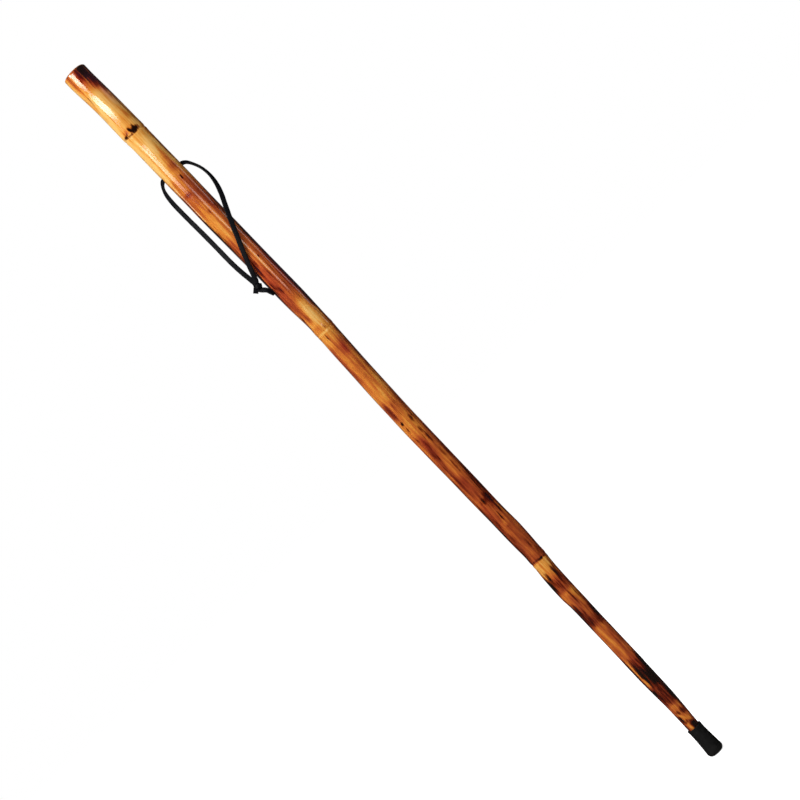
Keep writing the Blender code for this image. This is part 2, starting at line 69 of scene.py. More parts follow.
camera_data = bpy.data.cameras.new("camera")
camera_data.sensor_width = 36.0
camera_data.lens = camera_data.sensor_width * eye_distance / view_width
camera = placed("camera", camera_data)
camera_turn = Matrix((roll_right, roll_up, Vector((0.0, -1.0, 0.0)))).transposed()
eye = view_middle - Vector((0.0, eye_distance, 0.0))
camera.matrix_world = Matrix.Translation(eye) @ camera_turn.to_4x4()
bpy.context.scene.camera = camera


# Wrist lace. One flat black leather lace goes from the knot up the left side, through the
# cross hole, out on the right and down across the front of the wood to the knot again.
hole_place = Vector(next(j["pos_m"] for j in frame["joints"] if j["name"] == "strap_swing"))
lace_width = 0.0070
lace_thickness = 0.0026
lace_corner = 0.42 * lace_thickness
lace_crown = 0.00012
lace_stations = 260
loop_ripple = 0.00012
loop_ripples_per_metre = 160.0

# Places from the hole's centre, and the turn of the lace's flat face in degrees
lace_route = (
    (-0.0222, -0.0084, -0.1826, 90),
    (-0.0229, -0.0083, -0.1760, 90),
    (-0.0243, -0.0080, -0.1650, 88),
    (-0.0256, -0.0070, -0.1505, 86),
    (-0.0261, -0.0056, -0.1345, 84),
    (-0.0263, -0.0042, -0.1180, 82),
    (-0.0267, -0.0028, -0.0990, 80),
    (-0.0272, -0.0018, -0.0827, 78),
    (-0.0278, -0.0010, -0.0664, 76),
    (-0.0283, -0.0004, -0.0488, 73),
    (-0.0285, 0.0000, -0.0352, 68),
    (-0.0280, 0.0000, -0.0244, 60),
    (-0.0270, 0.0000, -0.0163, 48),
    (-0.0252, 0.0000, -0.0102, 38),
    (-0.0226, 0.0000, -0.0052, 42),
    (-0.0203, 0.0000, -0.0024, 56),
    (-0.0177, 0.0000, -0.0006, 74),
    (-0.0145, 0.0000, 0.0000, 88),
    (0.0000, 0.0000, 0.0000, 90),
    (0.0145, 0.0000, 0.0000, 88),
    (0.0178, -0.0001, -0.0001, 76),
    (0.0206, -0.0002, -0.0013, 60),
    (0.0234, -0.0004, -0.0034, 46),
    (0.0266, -0.0008, -0.0080, 34),
    (0.0298, -0.0014, -0.0142, 28),
    (0.0324, -0.0022, -0.0210, 26),
    (0.0341, -0.0033, -0.0285, 26),
    (0.0348, -0.0047, -0.0370, 29),
    (0.0344, -0.0063, -0.0450, 36),
    (0.0331, -0.0082, -0.0530, 46),
    (0.0307, -0.0106, -0.0620, 60),
    (0.0277, -0.0130, -0.0705, 70),
    (0.0240, -0.0149, -0.0790, 75),
    (0.0199, -0.0165, -0.0885, 77),
    (0.0154, -0.0181, -0.0990, 80),
    (0.0098, -0.0194, -0.1125, 86),
    (0.0046, -0.0197, -0.1262, 90),
    (-0.0006, -0.0195, -0.1385, 95),
    (-0.0058, -0.0186, -0.1520, 100),
    (-0.0110, -0.0164, -0.1660, 103),
    (-0.0164, -0.0131, -0.1819, 100),
)
long_tail_route = (
    (-0.0220, -0.0085, -0.1831, 64),
    (-0.0217, -0.0088, -0.1870, 62),
    (-0.0231, -0.0101, -0.1924, 60),
    (-0.0236, -0.0109, -0.1958, 65),
    (-0.0222, -0.0116, -0.1988, 71),
    (-0.0198, -0.0122, -0.2014, 71),
    (-0.0171, -0.0129, -0.2041, 60),
    (-0.0154, -0.0135, -0.2067, 42),
    (-0.0145, -0.0141, -0.2094, 28),
    (-0.0134, -0.0147, -0.2128, 20),
    (-0.0122, -0.0153, -0.2166, 15),
)
short_tail_route = (
    (-0.0166, -0.0130, -0.1823, 72),
    (-0.0179, -0.0122, -0.1862, 66),
    (-0.0212, -0.0116, -0.1901, 62),
    (-0.0256, -0.0111, -0.1941, 62),
    (-0.0302, -0.0109, -0.1984, 62),
)


def along_stations(stations, column, position):
    """Read a column of a table of stations as one smooth curve through them all."""
    last = len(stations) - 1
    index = 0
    while index < last - 1 and stations[index + 1][0] < position:
        index += 1
    here, there = stations[index], stations[index + 1]
    before = stations[max(index - 1, 0)]
    after = stations[min(index + 2, last)]
    span = there[0] - here[0]
    share = min(max((position - here[0]) / span, 0.0), 1.0)
    slope_here = (there[column] - before[column]) / (there[0] - before[0]) * span
    slope_there = (after[column] - here[column]) / (after[0] - here[0]) * span
    square, cube = share * share, share * share * share
    return (
        here[column] * (2 * cube - 3 * square + 1)
        + slope_here * (cube - 2 * square + share)
        + there[column] * (3 * square - 2 * cube)
        + slope_there * (cube - square)
    )


def smooth_route(points, count):
    """Evenly spaced places and turns along one smooth curve through a route's points."""
    run = [0.0]
    for near, far in zip(points, points[1:]):
        run.append(run[-1] + (Vector(far[:3]) - Vector(near[:3])).length)
    table = [(run[i], *points[i]) for i in range(len(points))]
    stations = []
    for i in range(count):
        position = run[-1] * i / (count - 1)
        values = [along_stations(table, column, position) for column in range(1, 5)]
        stations.append((Vector(values[:3]), values[3]))
    return stations


def lace_section(corners=6):
    """The cross-section of the lace as a closed guide curve: rounded corners, crowned faces."""
    inner = lace_width / 2 - lace_corner
    points = []
    for across, up in ((1, 1), (-1, 1), (-1, -1), (1, -1)):
        arc = []
        for i in range(corners + 1):
            angle = math.pi / 2 * i / corners
            side = inner + lace_corner * math.cos(angle)
            top = lace_thickness / 2 - lace_corner + lace_corner * math.sin(angle)
            arc.append((across * side, up * top))
        if across * up < 0:
            points += arc[::-1]
            continue
        points += arc
        for share in (0.6, 0.2, -0.2, -0.6):
            top = lace_thickness / 2 + lace_crown * (1 - share * share)
            points.append((up * inner * share, up * top))
    data = bpy.data.curves.new("lace_guide", "CURVE")
    data.dimensions = "2D"
    spline = data.splines.new("POLY")
    spline.points.add(len(points) - 1)
    spline.use_cyclic_u = True
    for point, (x, y) in zip(spline.points, points):
        point.co = (x, y, 0, 1)
    guide = placed("lace_guide", data)
    guide.hide_render = True
    return guide


def settled_mesh(made):
    """The mesh that an object comes to once its curve or its modifiers are worked out."""
    bpy.context.view_layer.update()
    graph = bpy.context.evaluated_depsgraph_get()
    return bpy.data.meshes.new_from_object(made.evaluated_get(graph))


def lay_lace(stations, guide):
    """A length of lace laid along stations, as a bmesh."""
    data = bpy.data.curves.new("lace_line", "CURVE")
    data.dimensions = "3D"
    data.twist_mode = "MINIMUM"
    data.use_fill_caps = True
    data.bevel_mode = "OBJECT"
    data.bevel_object = guide
    spline = data.splines.new("POLY")
    spline.points.add(len(stations) - 1)
    for point, (place, turn) in zip(spline.points, stations):
        point.co = (*place, 1.0)
        point.tilt = math.radians(turn)
    line = placed("lace_line", data)
    mesh = settled_mesh(line)
    bpy.data.objects.remove(line)
    bpy.data.curves.remove(data)
    lace = bmesh.new()
    lace.from_mesh(mesh)
    bpy.data.meshes.remove(mesh)
    bmesh.ops.remove_doubles(lace, verts=lace.verts, dist=0.000005)
    bmesh.ops.recalc_face_normals(lace, faces=lace.faces)
    return lace


def measured_lace(lace, stations):
    """Give each point of a lace its place across (0 middle, 1 edge), and return the length."""
    across_layer = lace.verts.layers.float.new("lace_across")
    places = np.array([place[:] for place, _ in stations])
    tangents = np.gradient(places, axis=0)
    tangents /= np.linalg.norm(tangents, axis=1)[:, None]
    points = np.array([v.co[:] for v in lace.verts])
    nearest = np.linalg.norm(points[:, None] - places, axis=2).argmin(axis=1)
    away = points - places[nearest]
    ahead = np.einsum("ij,ij->i", away, tangents[nearest])
    reach = np.linalg.norm(away - tangents[nearest] * ahead[:, None], axis=1)
    for vert, far in zip(lace.verts, reach):
        vert[across_layer] = far / (lace_width / 2)
    return np.linalg.norm(np.diff(places, axis=0), axis=1).sum()


def ripple(shape, depth, per_metre):
    """Take the evenness out of a shape, with small ripples in every direction."""
    for vert in shape.verts:
        vert.co += noise.noise_vector(vert.co * per_metre) * depth


def soften(shape, limit_degrees):
    """Smooth shading, with a crease kept where two faces meet at more than the limit."""
    for face in shape.faces:
        face.smooth = True
    limit = math.radians(limit_degrees)
    for edge in shape.edges:
        if len(edge.link_faces) == 2 and edge.calc_face_angle(0.0) > limit:
            edge.smooth = False


def finished(name, shape, *finishes):
    """Close a bmesh into a named object that stands at the origin, with its finishes."""
    mesh = bpy.data.meshes.new(name)
    shape.to_mesh(mesh)
    shape.free()
    for finish in finishes:
        mesh.materials.append(finish)
    return placed(name, mesh)


class Finish:
    """The nodes of a material, or of the room's white, with short words for them."""

    def __init__(self, name, kind="materials", last="Principled BSDF", **sockets):
        self.material = getattr(bpy.data, kind).new(name)
        self.material.use_nodes = True
        self.nodes = self.material.node_tree.nodes
        self.links = self.material.node_tree.links
        self.shader = self.nodes[last]
        self.wear(**sockets)

    def wear(self, **values):
        """Set the shader's own sockets, or feed them from nodes."""
        for socket, value in values.items():
            self.feed(self.shader.inputs[socket.replace("_", " ")], value)

    def feed(self, socket, value):
        if isinstance(value, bpy.types.NodeSocket):
            self.links.new(value, socket)
        else:
            socket.default_value = value

    def node(self, kind, settings=None, **inputs):
        """A new node, with its settings by name and its inputs by name or by number, as i0."""
        new = self.nodes.new(kind)
        for key, value in (settings or {}).items():
            setattr(new, key, value)
        for key, value in inputs.items():
            numbered = key[0] == "i" and key[1:].isdigit()
            self.feed(new.inputs[int(key[1:]) if numbered else key], value)
        return new

    def place(self, scale=(1.0, 1.0, 1.0), move=(0.0, 0.0, 0.0)):
        """Places on the piece in metres, moved and stretched."""
        seen = self.node("ShaderNodeTexCoord").outputs["Object"]
        stretched = self.node("ShaderNodeMapping", Vector=seen, Location=move, Scale=scale)
        return stretched.outputs["Vector"]

    def painted(self, layer):
        return self.node("ShaderNodeAttribute", {"attribute_name": layer}).outputs["Fac"]

    def mottle(self, scale, detail=3.0, along=1.0, across=1.0, roughness=0.55, distortion=0.0):
        """Clouded noise on the piece, drawn out lengthways where along is below 1."""
        new = self.node(
            "ShaderNodeTexNoise", Vector=self.place((1.0, across, along)), Scale=scale,
            Detail=detail, Roughness=roughness, Distortion=distortion,
        )
        return new.outputs["Fac"]

    def maths(self, operation, first, second=0.0, third=0.0):
        new = self.node("ShaderNodeMath", {"operation": operation}, i0=first, i1=second, i2=third)
        return new.outputs[0]

    def spread(self, value, low, high, to_low=0.0, to_high=1.0, smooth=True):
        """Map a value's range to another, held at both ends."""
        kind = "SMOOTHSTEP" if smooth else "LINEAR"
        new = self.node(
            "ShaderNodeMapRange", {"interpolation_type": kind, "clamp": True},
            i0=value, i1=low, i2=high, i3=to_low, i4=to_high,
        )
        return new.outputs["Result"]

    def swing(self, pattern, low, high, amount):
        """A pattern as a value that swings by an amount, half of it up and half down."""
        return self.spread(pattern, low, high, -amount / 2, amount / 2, smooth=False)

    def level(self, share, first, second):
        """Mix two values."""
        return self.node("ShaderNodeMix", i0=share, i2=first, i3=second).outputs[0]

    def blend(self, share, first, second, kind="MIX"):
        """Mix two colours, each a node's output or three numbers."""
        first, second = (((*c, 1.0) if isinstance(c, tuple) else c) for c in (first, second))
        settings = {"data_type": "RGBA", "blend_type": kind}
        return self.node("ShaderNodeMix", settings, i0=share, i6=first, i7=second).outputs[2]

    def ramp(self, value, stops):
        new = self.node("ShaderNodeValToRGB", Fac=value)
        band = new.color_ramp
        while len(band.elements) < len(stops):
            band.elements.new(0.5)
        for element, (place, colour) in zip(band.elements, stops):
            element.position = place
            element.color = (*colour, 1.0)
        return new.outputs["Color"]

    def relief(self, height, depth, strength=1.0, under=None):
        new = self.node("ShaderNodeBump", Height=height, Distance=depth, Strength=strength)
        if under is not None:
            self.links.new(under, new.inputs["Normal"])
        return new.outputs["Normal"]


leather = Finish("black_lace_leather", Roughness=0.5, Specular_IOR_Level=0.04)
pores = leather.mottle(1500.0, 4.0)
creases = leather.mottle(420.0, 5.0, roughness=0.65, distortion=0.6)
scuffs = leather.mottle(190.0, 4.0, along=0.35)
scuffed = leather.spread(scuffs, 0.45, 0.75)
flesh_edge = leather.spread(leather.painted("lace_across"), 0.86, 1.0)
black = leather.blend(scuffed, (0.0030, 0.0032, 0.0044), (0.0056, 0.0060, 0.0082))
black = leather.blend(leather.maths("MULTIPLY", flesh_edge, pores), black, (0.016, 0.015, 0.015))
leather.wear(
    Base_Color=black,
    Roughness=leather.spread(scuffs, 0.3, 0.8, 0.42, 0.68),
    Normal=leather.relief(pores, 0.00008, 0.6, leather.relief(creases, 0.00020, 0.7)),
)

lace_guide = lace_section()
loop_stations = smooth_route(lace_route, lace_stations)
loop = lay_lace(loop_stations, lace_guide)
loop_length = measured_lace(loop, loop_stations)
bmesh.ops.translate(loop, vec=hole_place, verts=loop.verts)
noise.seed_set(3)  # without a seed, noise_vector draws its offsets from the clock
ripple(loop, loop_ripple, loop_ripples_per_metre)
soften(loop, 50)
wrist_loop = finished("wrist_loop", loop, leather.material)
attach(wrist_loop, "wrist_loop")
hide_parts("strap")


# Knot of the lace. Both ends go through two tight wraps of the same lace: the short tail is
# cut square and points out to the left, and the long tail lies on its edge down to the wood.
knot_place = Vector((-0.0212, -0.0108, -0.1936))
knot_ripple = 0.00014
knot_ripples_per_metre = 260.0
tail_stations = 48
tail_hidden = 0.0015
wrap_thickness = 0.9 * lace_thickness
wrap_rise = 0.0004
# How square the wrap's section is, over its thickness and over its width (1 is round)
wrap_square_out = 0.6
wrap_square_side = 0.35


def knot_wrap(tilt, across, deep, start, joints=44):
    """One turn of the lace about the knot, with its flat face outwards."""
    tilted = Matrix.Rotation(math.radians(tilt), 4, "Y")
    centre = Matrix.Translation(hole_place + knot_place)
    side = Vector((0.0, 0.0, 1.0))
    frames = []
    for i in range(joints + 1):
        share = i / joints
        angle = math.radians(start) + 2 * math.pi * share
        cosine, sine = math.cos(angle), math.sin(angle)
        spot = Vector((across / 2 * cosine, deep / 2 * sine, wrap_rise * (share - 0.5)))
        out = Vector((cosine / across, sine / deep, 0.0)).normalized()
        turned = Matrix((out, out.cross(side), side)).transposed().to_4x4()
        frames.append(centre @ tilted @ Matrix.Translation(spot) @ turned)
    shape = bmesh.new()
    ring = bmesh.ops.create_circle(shape, cap_ends=True, segments=20, radius=1.0)["verts"]
    for vert in ring:
        angle = math.atan2(vert.co.y, vert.co.x)
        round_x = math.copysign(abs(math.cos(angle)) ** wrap_square_out, math.cos(angle))
        round_z = math.copysign(abs(math.sin(angle)) ** wrap_square_side, math.sin(angle))
        vert.co = Vector((wrap_thickness / 2 * round_x, 0.0, lace_width / 2 * round_z))
    bmesh.ops.transform(shape, matrix=frames[0], verts=ring)
    face = list(shape.faces)[0]
    for before, after in zip(frames, frames[1:]):
        grown = bmesh.ops.extrude_face_region(shape, geom=[face])["geom"]
        moved = [g for g in grown if isinstance(g, bmesh.types.BMVert)]
        bmesh.ops.transform(shape, matrix=after @ before.inverted(), verts=moved)
        old = face
        face = next(g for g in grown if isinstance(g, bmesh.types.BMFace))
        if before is not frames[0]:
            bmesh.ops.delete(shape, geom=[old], context="FACES_ONLY")
    bmesh.ops.recalc_face_normals(shape, faces=shape.faces)
    return shape


def add_to(whole, part):
    """Join one bmesh into another."""
    kept = bpy.data.meshes.new("part")
    part.to_mesh(kept)
    part.free()
    whole.from_mesh(kept)
    bpy.data.meshes.remove(kept)


knot = bmesh.new()
knot.verts.layers.float.new("lace_across")
for route in (long_tail_route, short_tail_route):
    stations = smooth_route(route, tail_stations)
    first, turn = stations[0]
    into_knot = (first - stations[1][0]).normalized()
    stations[0] = (first + into_knot * tail_hidden, turn)
    tail = lay_lace(stations, lace_guide)
    measured_lace(tail, stations)
    bmesh.ops.translate(tail, vec=hole_place, verts=tail.verts)
    add_to(knot, tail)
for tilt, across, deep, start in ((-38, 0.0080, 0.0078, 80), (31, 0.0088, 0.0090, 100)):
    add_to(knot, knot_wrap(tilt, across, deep, start))
ripple(knot, knot_ripple, knot_ripples_per_metre)
soften(knot, 50)
lace_knot = finished("lace_knot", knot, leather.material)
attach(lace_knot, "wrist_loop")
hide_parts("strap_knot")
bpy.data.objects.remove(lace_guide)


# Wood. One length of natural wood, stripped of its bark, flame-burnt in patches and
# lacquered. Its end is domed and bored for the compass, and its foot is whittled to a spigot.
stick_length = 1.2700
grip_diameter = 0.0350
foot_diameter = 0.0240
spigot_diameter = 0.0180
spigot_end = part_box("shaft")[0].z
tip_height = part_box("ferrule")[1].z
bare_length = stick_length - tip_height
tip_fade = 0.0120
whittled_length = 0.1120
knife_depth = 0.00028
knife_facets = 9
knife_twist_per_metre = 30.0
dome_drop = 0.0050
dome_land = 0.0004
dome_steps = 14
recess_radius = 0.0103
recess_round = 0.0010
recess_floor = 1.2575
recess_steps = 8
recess_mouth = recess_radius + 0.4 * recess_round
torn_depth = 0.0035
torn_height = 0.00022
torn_share = 0.012
hole_radius = 0.0040
hole_mouth_bevel = 0.0008
hole_mouth_round = 0.0012
hole_half_length = 0.0165
sides = 96
rings = 800
# The end is sanded off at a slant: depth in the middle, and slopes to the left and the front
end_sanded = 0.0013
end_slope_left = 0.79 / 17.5
end_slope_front = 0.58 / 17.5

# Growth from the top end to the rubber tip: share of the bare length, thickness (0 is the
# foot's, 1 is the grip's) and sideways wander of the heart line
growth = (
    (0.000, 1.09, -0.0051),
    (0.016, 1.07, -0.0047),
    (0.054, 0.94, -0.0023),
    (0.093, 0.95, -0.0013),
    (0.110, 0.88, -0.0008),
    (0.173, 0.91, 0.0002),
    (0.213, 0.92, 0.0006),
    (0.254, 0.87, 0.0015),
    (0.333, 0.80, 0.0035),
    (0.360, 0.72, 0.0041),
    (0.382, 0.55, 0.0046),
    (0.400, 0.50, 0.0044),
    (0.439, 0.50, 0.0034),
    (0.492, 0.44, 0.0019),
    (0.545, 0.41, 0.0013),
    (0.612, 0.35, 0.0020),
    (0.679, 0.28, 0.0027),
    (0.706, 0.34, 0.0031),
    (0.745, 0.11, 0.0029),
    (0.770, 0.16, 0.0011),
    (0.798, 0.19, 0.0002),
    (0.812, 0.07, 0.0008),
    (0.838, 0.00, 0.0011),
    (0.900, 0.00, 0.0011),
    (0.960, 0.00, 0.0009),
    (1.000, 0.00, 0.0000),
)
# Growth rings: distance below the top end, swelling above the ring, depth of its groove
growth_rings = ((0.1205, 0.0003, 0.0007), (0.4900, 0.0005, 0.0004), (0.9140, 0.0006, 0.0006))
ring_swell_length = 0.0070
ring_groove_length = 0.0016
ring_wave = 0.0009
# A low rise below each groove: share of the groove's depth, and how many groove lengths below
ring_rise_share = 0.35
ring_rise_below = 2.2
# Unevenness of the surface: an oval section that turns along the stick, and lumps with their
# height, their bumps round the wood, the pattern's start, and their bumps for each metre
oval_share = 0.014
oval_turn = 0.6
oval_turns_per_metre = 5.0
surface_lumps = (
    (0.00045, 0.9, (3.0, 1.0), 16.0),
    (0.00012, 2.2, (7.0, 2.0), 26.0),
    (0.00003, 7.0, (1.0, 9.0), 6.0),
)
# Shallow flats where twigs were pared off: distance below the top end, turn in degrees from the
# front (left is below 0), half length, half width and depth
whittled_flats = (
    (0.0670, -20, 0.0190, 0.0044, 0.00024),
    (0.0060, -14, 0.0100, 0.0040, 0.00014),
)


def held(value, low=0.0, high=1.0):
    """A value held within two limits."""
    return min(max(value, low), high)


def heart_line(height):
    """Sideways place of the wood's middle at a height above the floor."""
    share = (stick_length - height) / bare_length
    top_share = (stick_length - recess_floor + dome_drop) / bare_length
    return along_stations(growth, 2, held(share, top_share))


def wood_radius(height):
    """Radius of the wood at a height, with its whittled foot, before knots and dents."""
    share = (stick_length - height) / bare_length
    thickness = along_stations(growth, 1, min(share, 1.0))
    radius = (foot_diameter + (grip_diameter - foot_diameter) * thickness) / 2
    whittled = (whittled_length - (height - tip_height)) / whittled_length
    if whittled > 0:
        fall = math.cos(min(whittled, 1.0) * math.pi / 2)
        radius = spigot_diameter / 2 + (radius - spigot_diameter / 2) * fall
    return radius


def ring_relief(below_top, circle):
    """How far the growth rings lift or cut the surface there: each ring runs a little wavy."""
    lift = 0.0
    for number, (ring, swell, groove) in enumerate(growth_rings):
        wave = ring_wave * noise.noise(circle * 1.6 + Vector((0.0, 0.0, number * 7.0)))
        uneven = 0.75 + 0.5 * noise.noise(circle * 2.5 + Vector((0.0, 0.0, number + 40.0)))
        away = below_top - ring - wave
        lift += swell * math.exp(-((away + ring_swell_length / 2) / ring_swell_length) ** 2)
        away /= ring_groove_length
        lift -= groove * uneven * math.exp(-(away ** 2))
        lift += ring_rise_share * groove * math.exp(-((away - ring_rise_below) ** 2))
    return lift


def surface_relief(height, angle, radius):
    """How far the wood's surface stands off its round there."""
    circle = Vector((math.cos(angle), math.sin(angle), 0.0))
    below_top = stick_length - height
    oval_angle = angle - oval_turn - oval_turns_per_metre * height
    relief = oval_share * radius * math.cos(2 * oval_angle)
    for lump, bumps, start, per_metre in surface_lumps:
        spot = circle * bumps + Vector((*start, height * per_metre))
        relief += lump * noise.noise(spot)
    if height < tip_height + whittled_length:
        facet = knife_facets / 2 * angle + knife_twist_per_metre * height
        relief -= knife_depth * abs(math.sin(facet))
    for place, turn, half_long, half_wide, depth in whittled_flats:
        aside = math.remainder(angle + math.pi / 2 - math.radians(turn), 2 * math.pi) * radius
        near = ((below_top - place) / half_long) ** 2 + (aside / half_wide) ** 2
        relief -= depth * math.exp(-near)
    return relief + ring_relief(below_top, circle)


def profile_shape(points):
    """A bmesh of a profile's corners and edges, to be turned: (radius, height) points."""
    shape = bmesh.new()
    corners = [shape.verts.new((radius, 0.0, height)) for radius, height in points]
    for pair in zip(corners, corners[1:]):
        shape.edges.new(pair)
    return shape


def turn_round(shape, steps, axis=(0, 0, 1)):
    """Spin a profile once round an axis through the origin and close its seam and its poles."""
    bmesh.ops.spin(
        shape, geom=list(shape.verts) + list(shape.edges), cent=(0, 0, 0), axis=axis,
        angle=2 * math.pi, steps=steps, use_merge=True, use_duplicate=False,
    )
    bmesh.ops.remove_doubles(shape, verts=shape.verts, dist=0.000002)


def rounded(centre, radius, start, sweep, count=5):
    """Points of a part circle about a centre, in degrees."""
    arc = []
    for i in range(count + 1):
        angle = math.radians(start + sweep * i / count)
        arc.append((centre[0] + radius * math.cos(angle), centre[1] + radius * math.sin(angle)))
    return arc


# The flank is turned too thick, and its points are then drawn in to the growth
turning_radius = 0.030
dome_foot = stick_length - dome_drop
dome_flat = recess_radius + recess_round + dome_land
top_radius = wood_radius(dome_foot)
profile = [(0.0, spigot_end), (turning_radius, spigot_end), (turning_radius, dome_foot)]
for i in range(1, dome_steps + 1):
    angle = math.pi / 2 * i / dome_steps
    across = dome_flat + (top_radius - dome_flat) * math.cos(angle)
    profile.append((across, dome_foot + dome_drop * math.sin(angle)))
mouth_middle = (recess_radius + recess_round, stick_length - recess_round)
profile += rounded(mouth_middle, recess_round, 90, 90, 7)
recess_depth = stick_length - recess_round - recess_floor
for i in range(1, recess_steps + 1):
    height = stick_length - recess_round - recess_depth * i / recess_steps
    profile.append((recess_radius, height))
profile += [(recess_radius * share, recess_floor) for share in (0.66, 0.33, 0.0)]
shape = profile_shape(profile)
shape.edges.ensure_lookup_table()
bmesh.ops.subdivide_edges(shape, edges=[shape.edges[1]], cuts=rings)
turn_round(shape, sides)
radius_at = {}
for vert in shape.verts:
    height = vert.co.z
    across = math.hypot(vert.co.x, vert.co.y)
    angle = math.atan2(vert.co.y, vert.co.x)
    if across > recess_mouth:
        key = round(min(height, dome_foot), 7)
        if key not in radius_at:
            radius_at[key] = wood_radius(key)
        on_flank = across > turning_radius - 0.0001
        share = 1.0 if on_flank else held((across - dome_flat) / (top_radius - dome_flat))
        hidden = held((height - tip_height) / tip_fade)
        radius = radius_at[key] if on_flank else across
        radius += surface_relief(height, angle, radius_at[key]) * hidden * share
        if not on_flank:
            torn = noise.noise(Vector((angle * 9.0, height * 900.0, across * 900.0)))
            radius += torn_height * torn * (1.0 - share)
        vert.co.x = radius * math.cos(angle)
        vert.co.y = radius * math.sin(angle)
    elif height > stick_length - torn_depth:
        torn = noise.noise(Vector((angle * 14.0, height * 1400.0, 3.0)))
        vert.co.x *= 1.0 + torn_share * torn
        vert.co.y *= 1.0 + torn_share * torn
        vert.co.z += torn_height * noise.noise(Vector((angle * 11.0, 5.0, across * 2000.0)))
line_at = {}
for vert in shape.verts:
    key = round(vert.co.z, 6)
    if key not in line_at:
        line_at[key] = heart_line(key)
    rise = held((vert.co.z - dome_foot) / dome_drop)
    slant = end_slope_left * vert.co.x + end_slope_front * vert.co.y
    vert.co.z -= rise * (end_sanded - slant)
    vert.co.x += line_at[key]
bmesh.ops.recalc_face_normals(shape, faces=shape.faces)
wood = finished("wood", shape)

# The cross hole is drilled from side to side, and its mouths are eased for the lace
drill = bmesh.new()
drill_reach = 0.030
flare = wood_radius(hole_place.z) - hole_mouth_bevel
wide = hole_radius + (drill_reach - flare)
line = [
    drill.verts.new((along, across, 0.0)) for along, across in (
        (-drill_reach, 0), (-drill_reach, wide), (-flare, hole_radius),
        (flare, hole_radius), (drill_reach, wide), (drill_reach, 0),
    )
]
for pair in zip(line, line[1:]):
    drill.edges.new(pair)
bmesh.ops.bevel(
    drill, geom=[line[2], line[3]], affect="VERTICES", offset=hole_mouth_round, segments=4,
    profile=0.5, material=-1,
)
turn_round(drill, 48, axis=(1, 0, 0))
bmesh.ops.translate(drill, vec=hole_place, verts=drill.verts)
bmesh.ops.recalc_face_normals(drill, faces=drill.faces)
drill_bit = finished("drill_bit", drill)
bore = wood.modifiers.new("cross_hole", "BOOLEAN")
bore.operation = "DIFFERENCE"
bore.solver = "EXACT"
bore.object = drill_bit
drilled = settled_mesh(wood)
bpy.data.objects.remove(drill_bit)
wood.modifiers.clear()
solid_mesh = wood.data
wood.data = drilled
bpy.data.meshes.remove(solid_mesh)
drilled.name = "wood"

# Tone of the stain down the middle of the front: place as the photograph's pixels run along
# the stick, and tone (0 cream, 0.3 gold, 0.5 orange, 0.8 mahogany, 1 deep red)
pixel = 0.001355
tone_run = (
    (-8, 0.34), (2, 0.24), (14, 0.22), (30, 0.12), (48, 0.07), (76, 0.12), (88, 0.12), (104, 0.08),
    (128, 0.10), (142, 0.18), (150, 0.36), (162, 0.50), (168, 0.64), (188, 0.58), (197, 0.48),
    (204, 0.43), (222, 0.44), (230, 0.54), (240, 0.60), (262, 0.58), (274, 0.64), (306, 0.68),
    (314, 0.62), (322, 0.48), (336, 0.42), (344, 0.32), (352, 0.38), (362, 0.36), (372, 0.42),
    (380, 0.54), (400, 0.50), (416, 0.46), (440, 0.42), (450, 0.46), (458, 0.58), (470, 0.54),
    (480, 0.46), (494, 0.54), (502, 0.70), (522, 0.76), (536, 0.66), (556, 0.66), (564, 0.76),
    (588, 0.72), (608, 0.70), (626, 0.78), (650, 0.78), (672, 0.80), (674.4, 0.30), (684, 0.38),
    (694, 0.54), (702, 0.84), (711, 0.80), (716, 0.54), (728, 0.64), (738, 0.90), (756, 0.96),
    (763, 0.64), (780, 0.57), (800, 0.60), (812, 0.80), (850, 0.96), (866, 0.86), (871, 0.58),
    (877, 0.68), (883, 0.72), (890, 0.66), (904, 0.70), (940, 0.8),
)
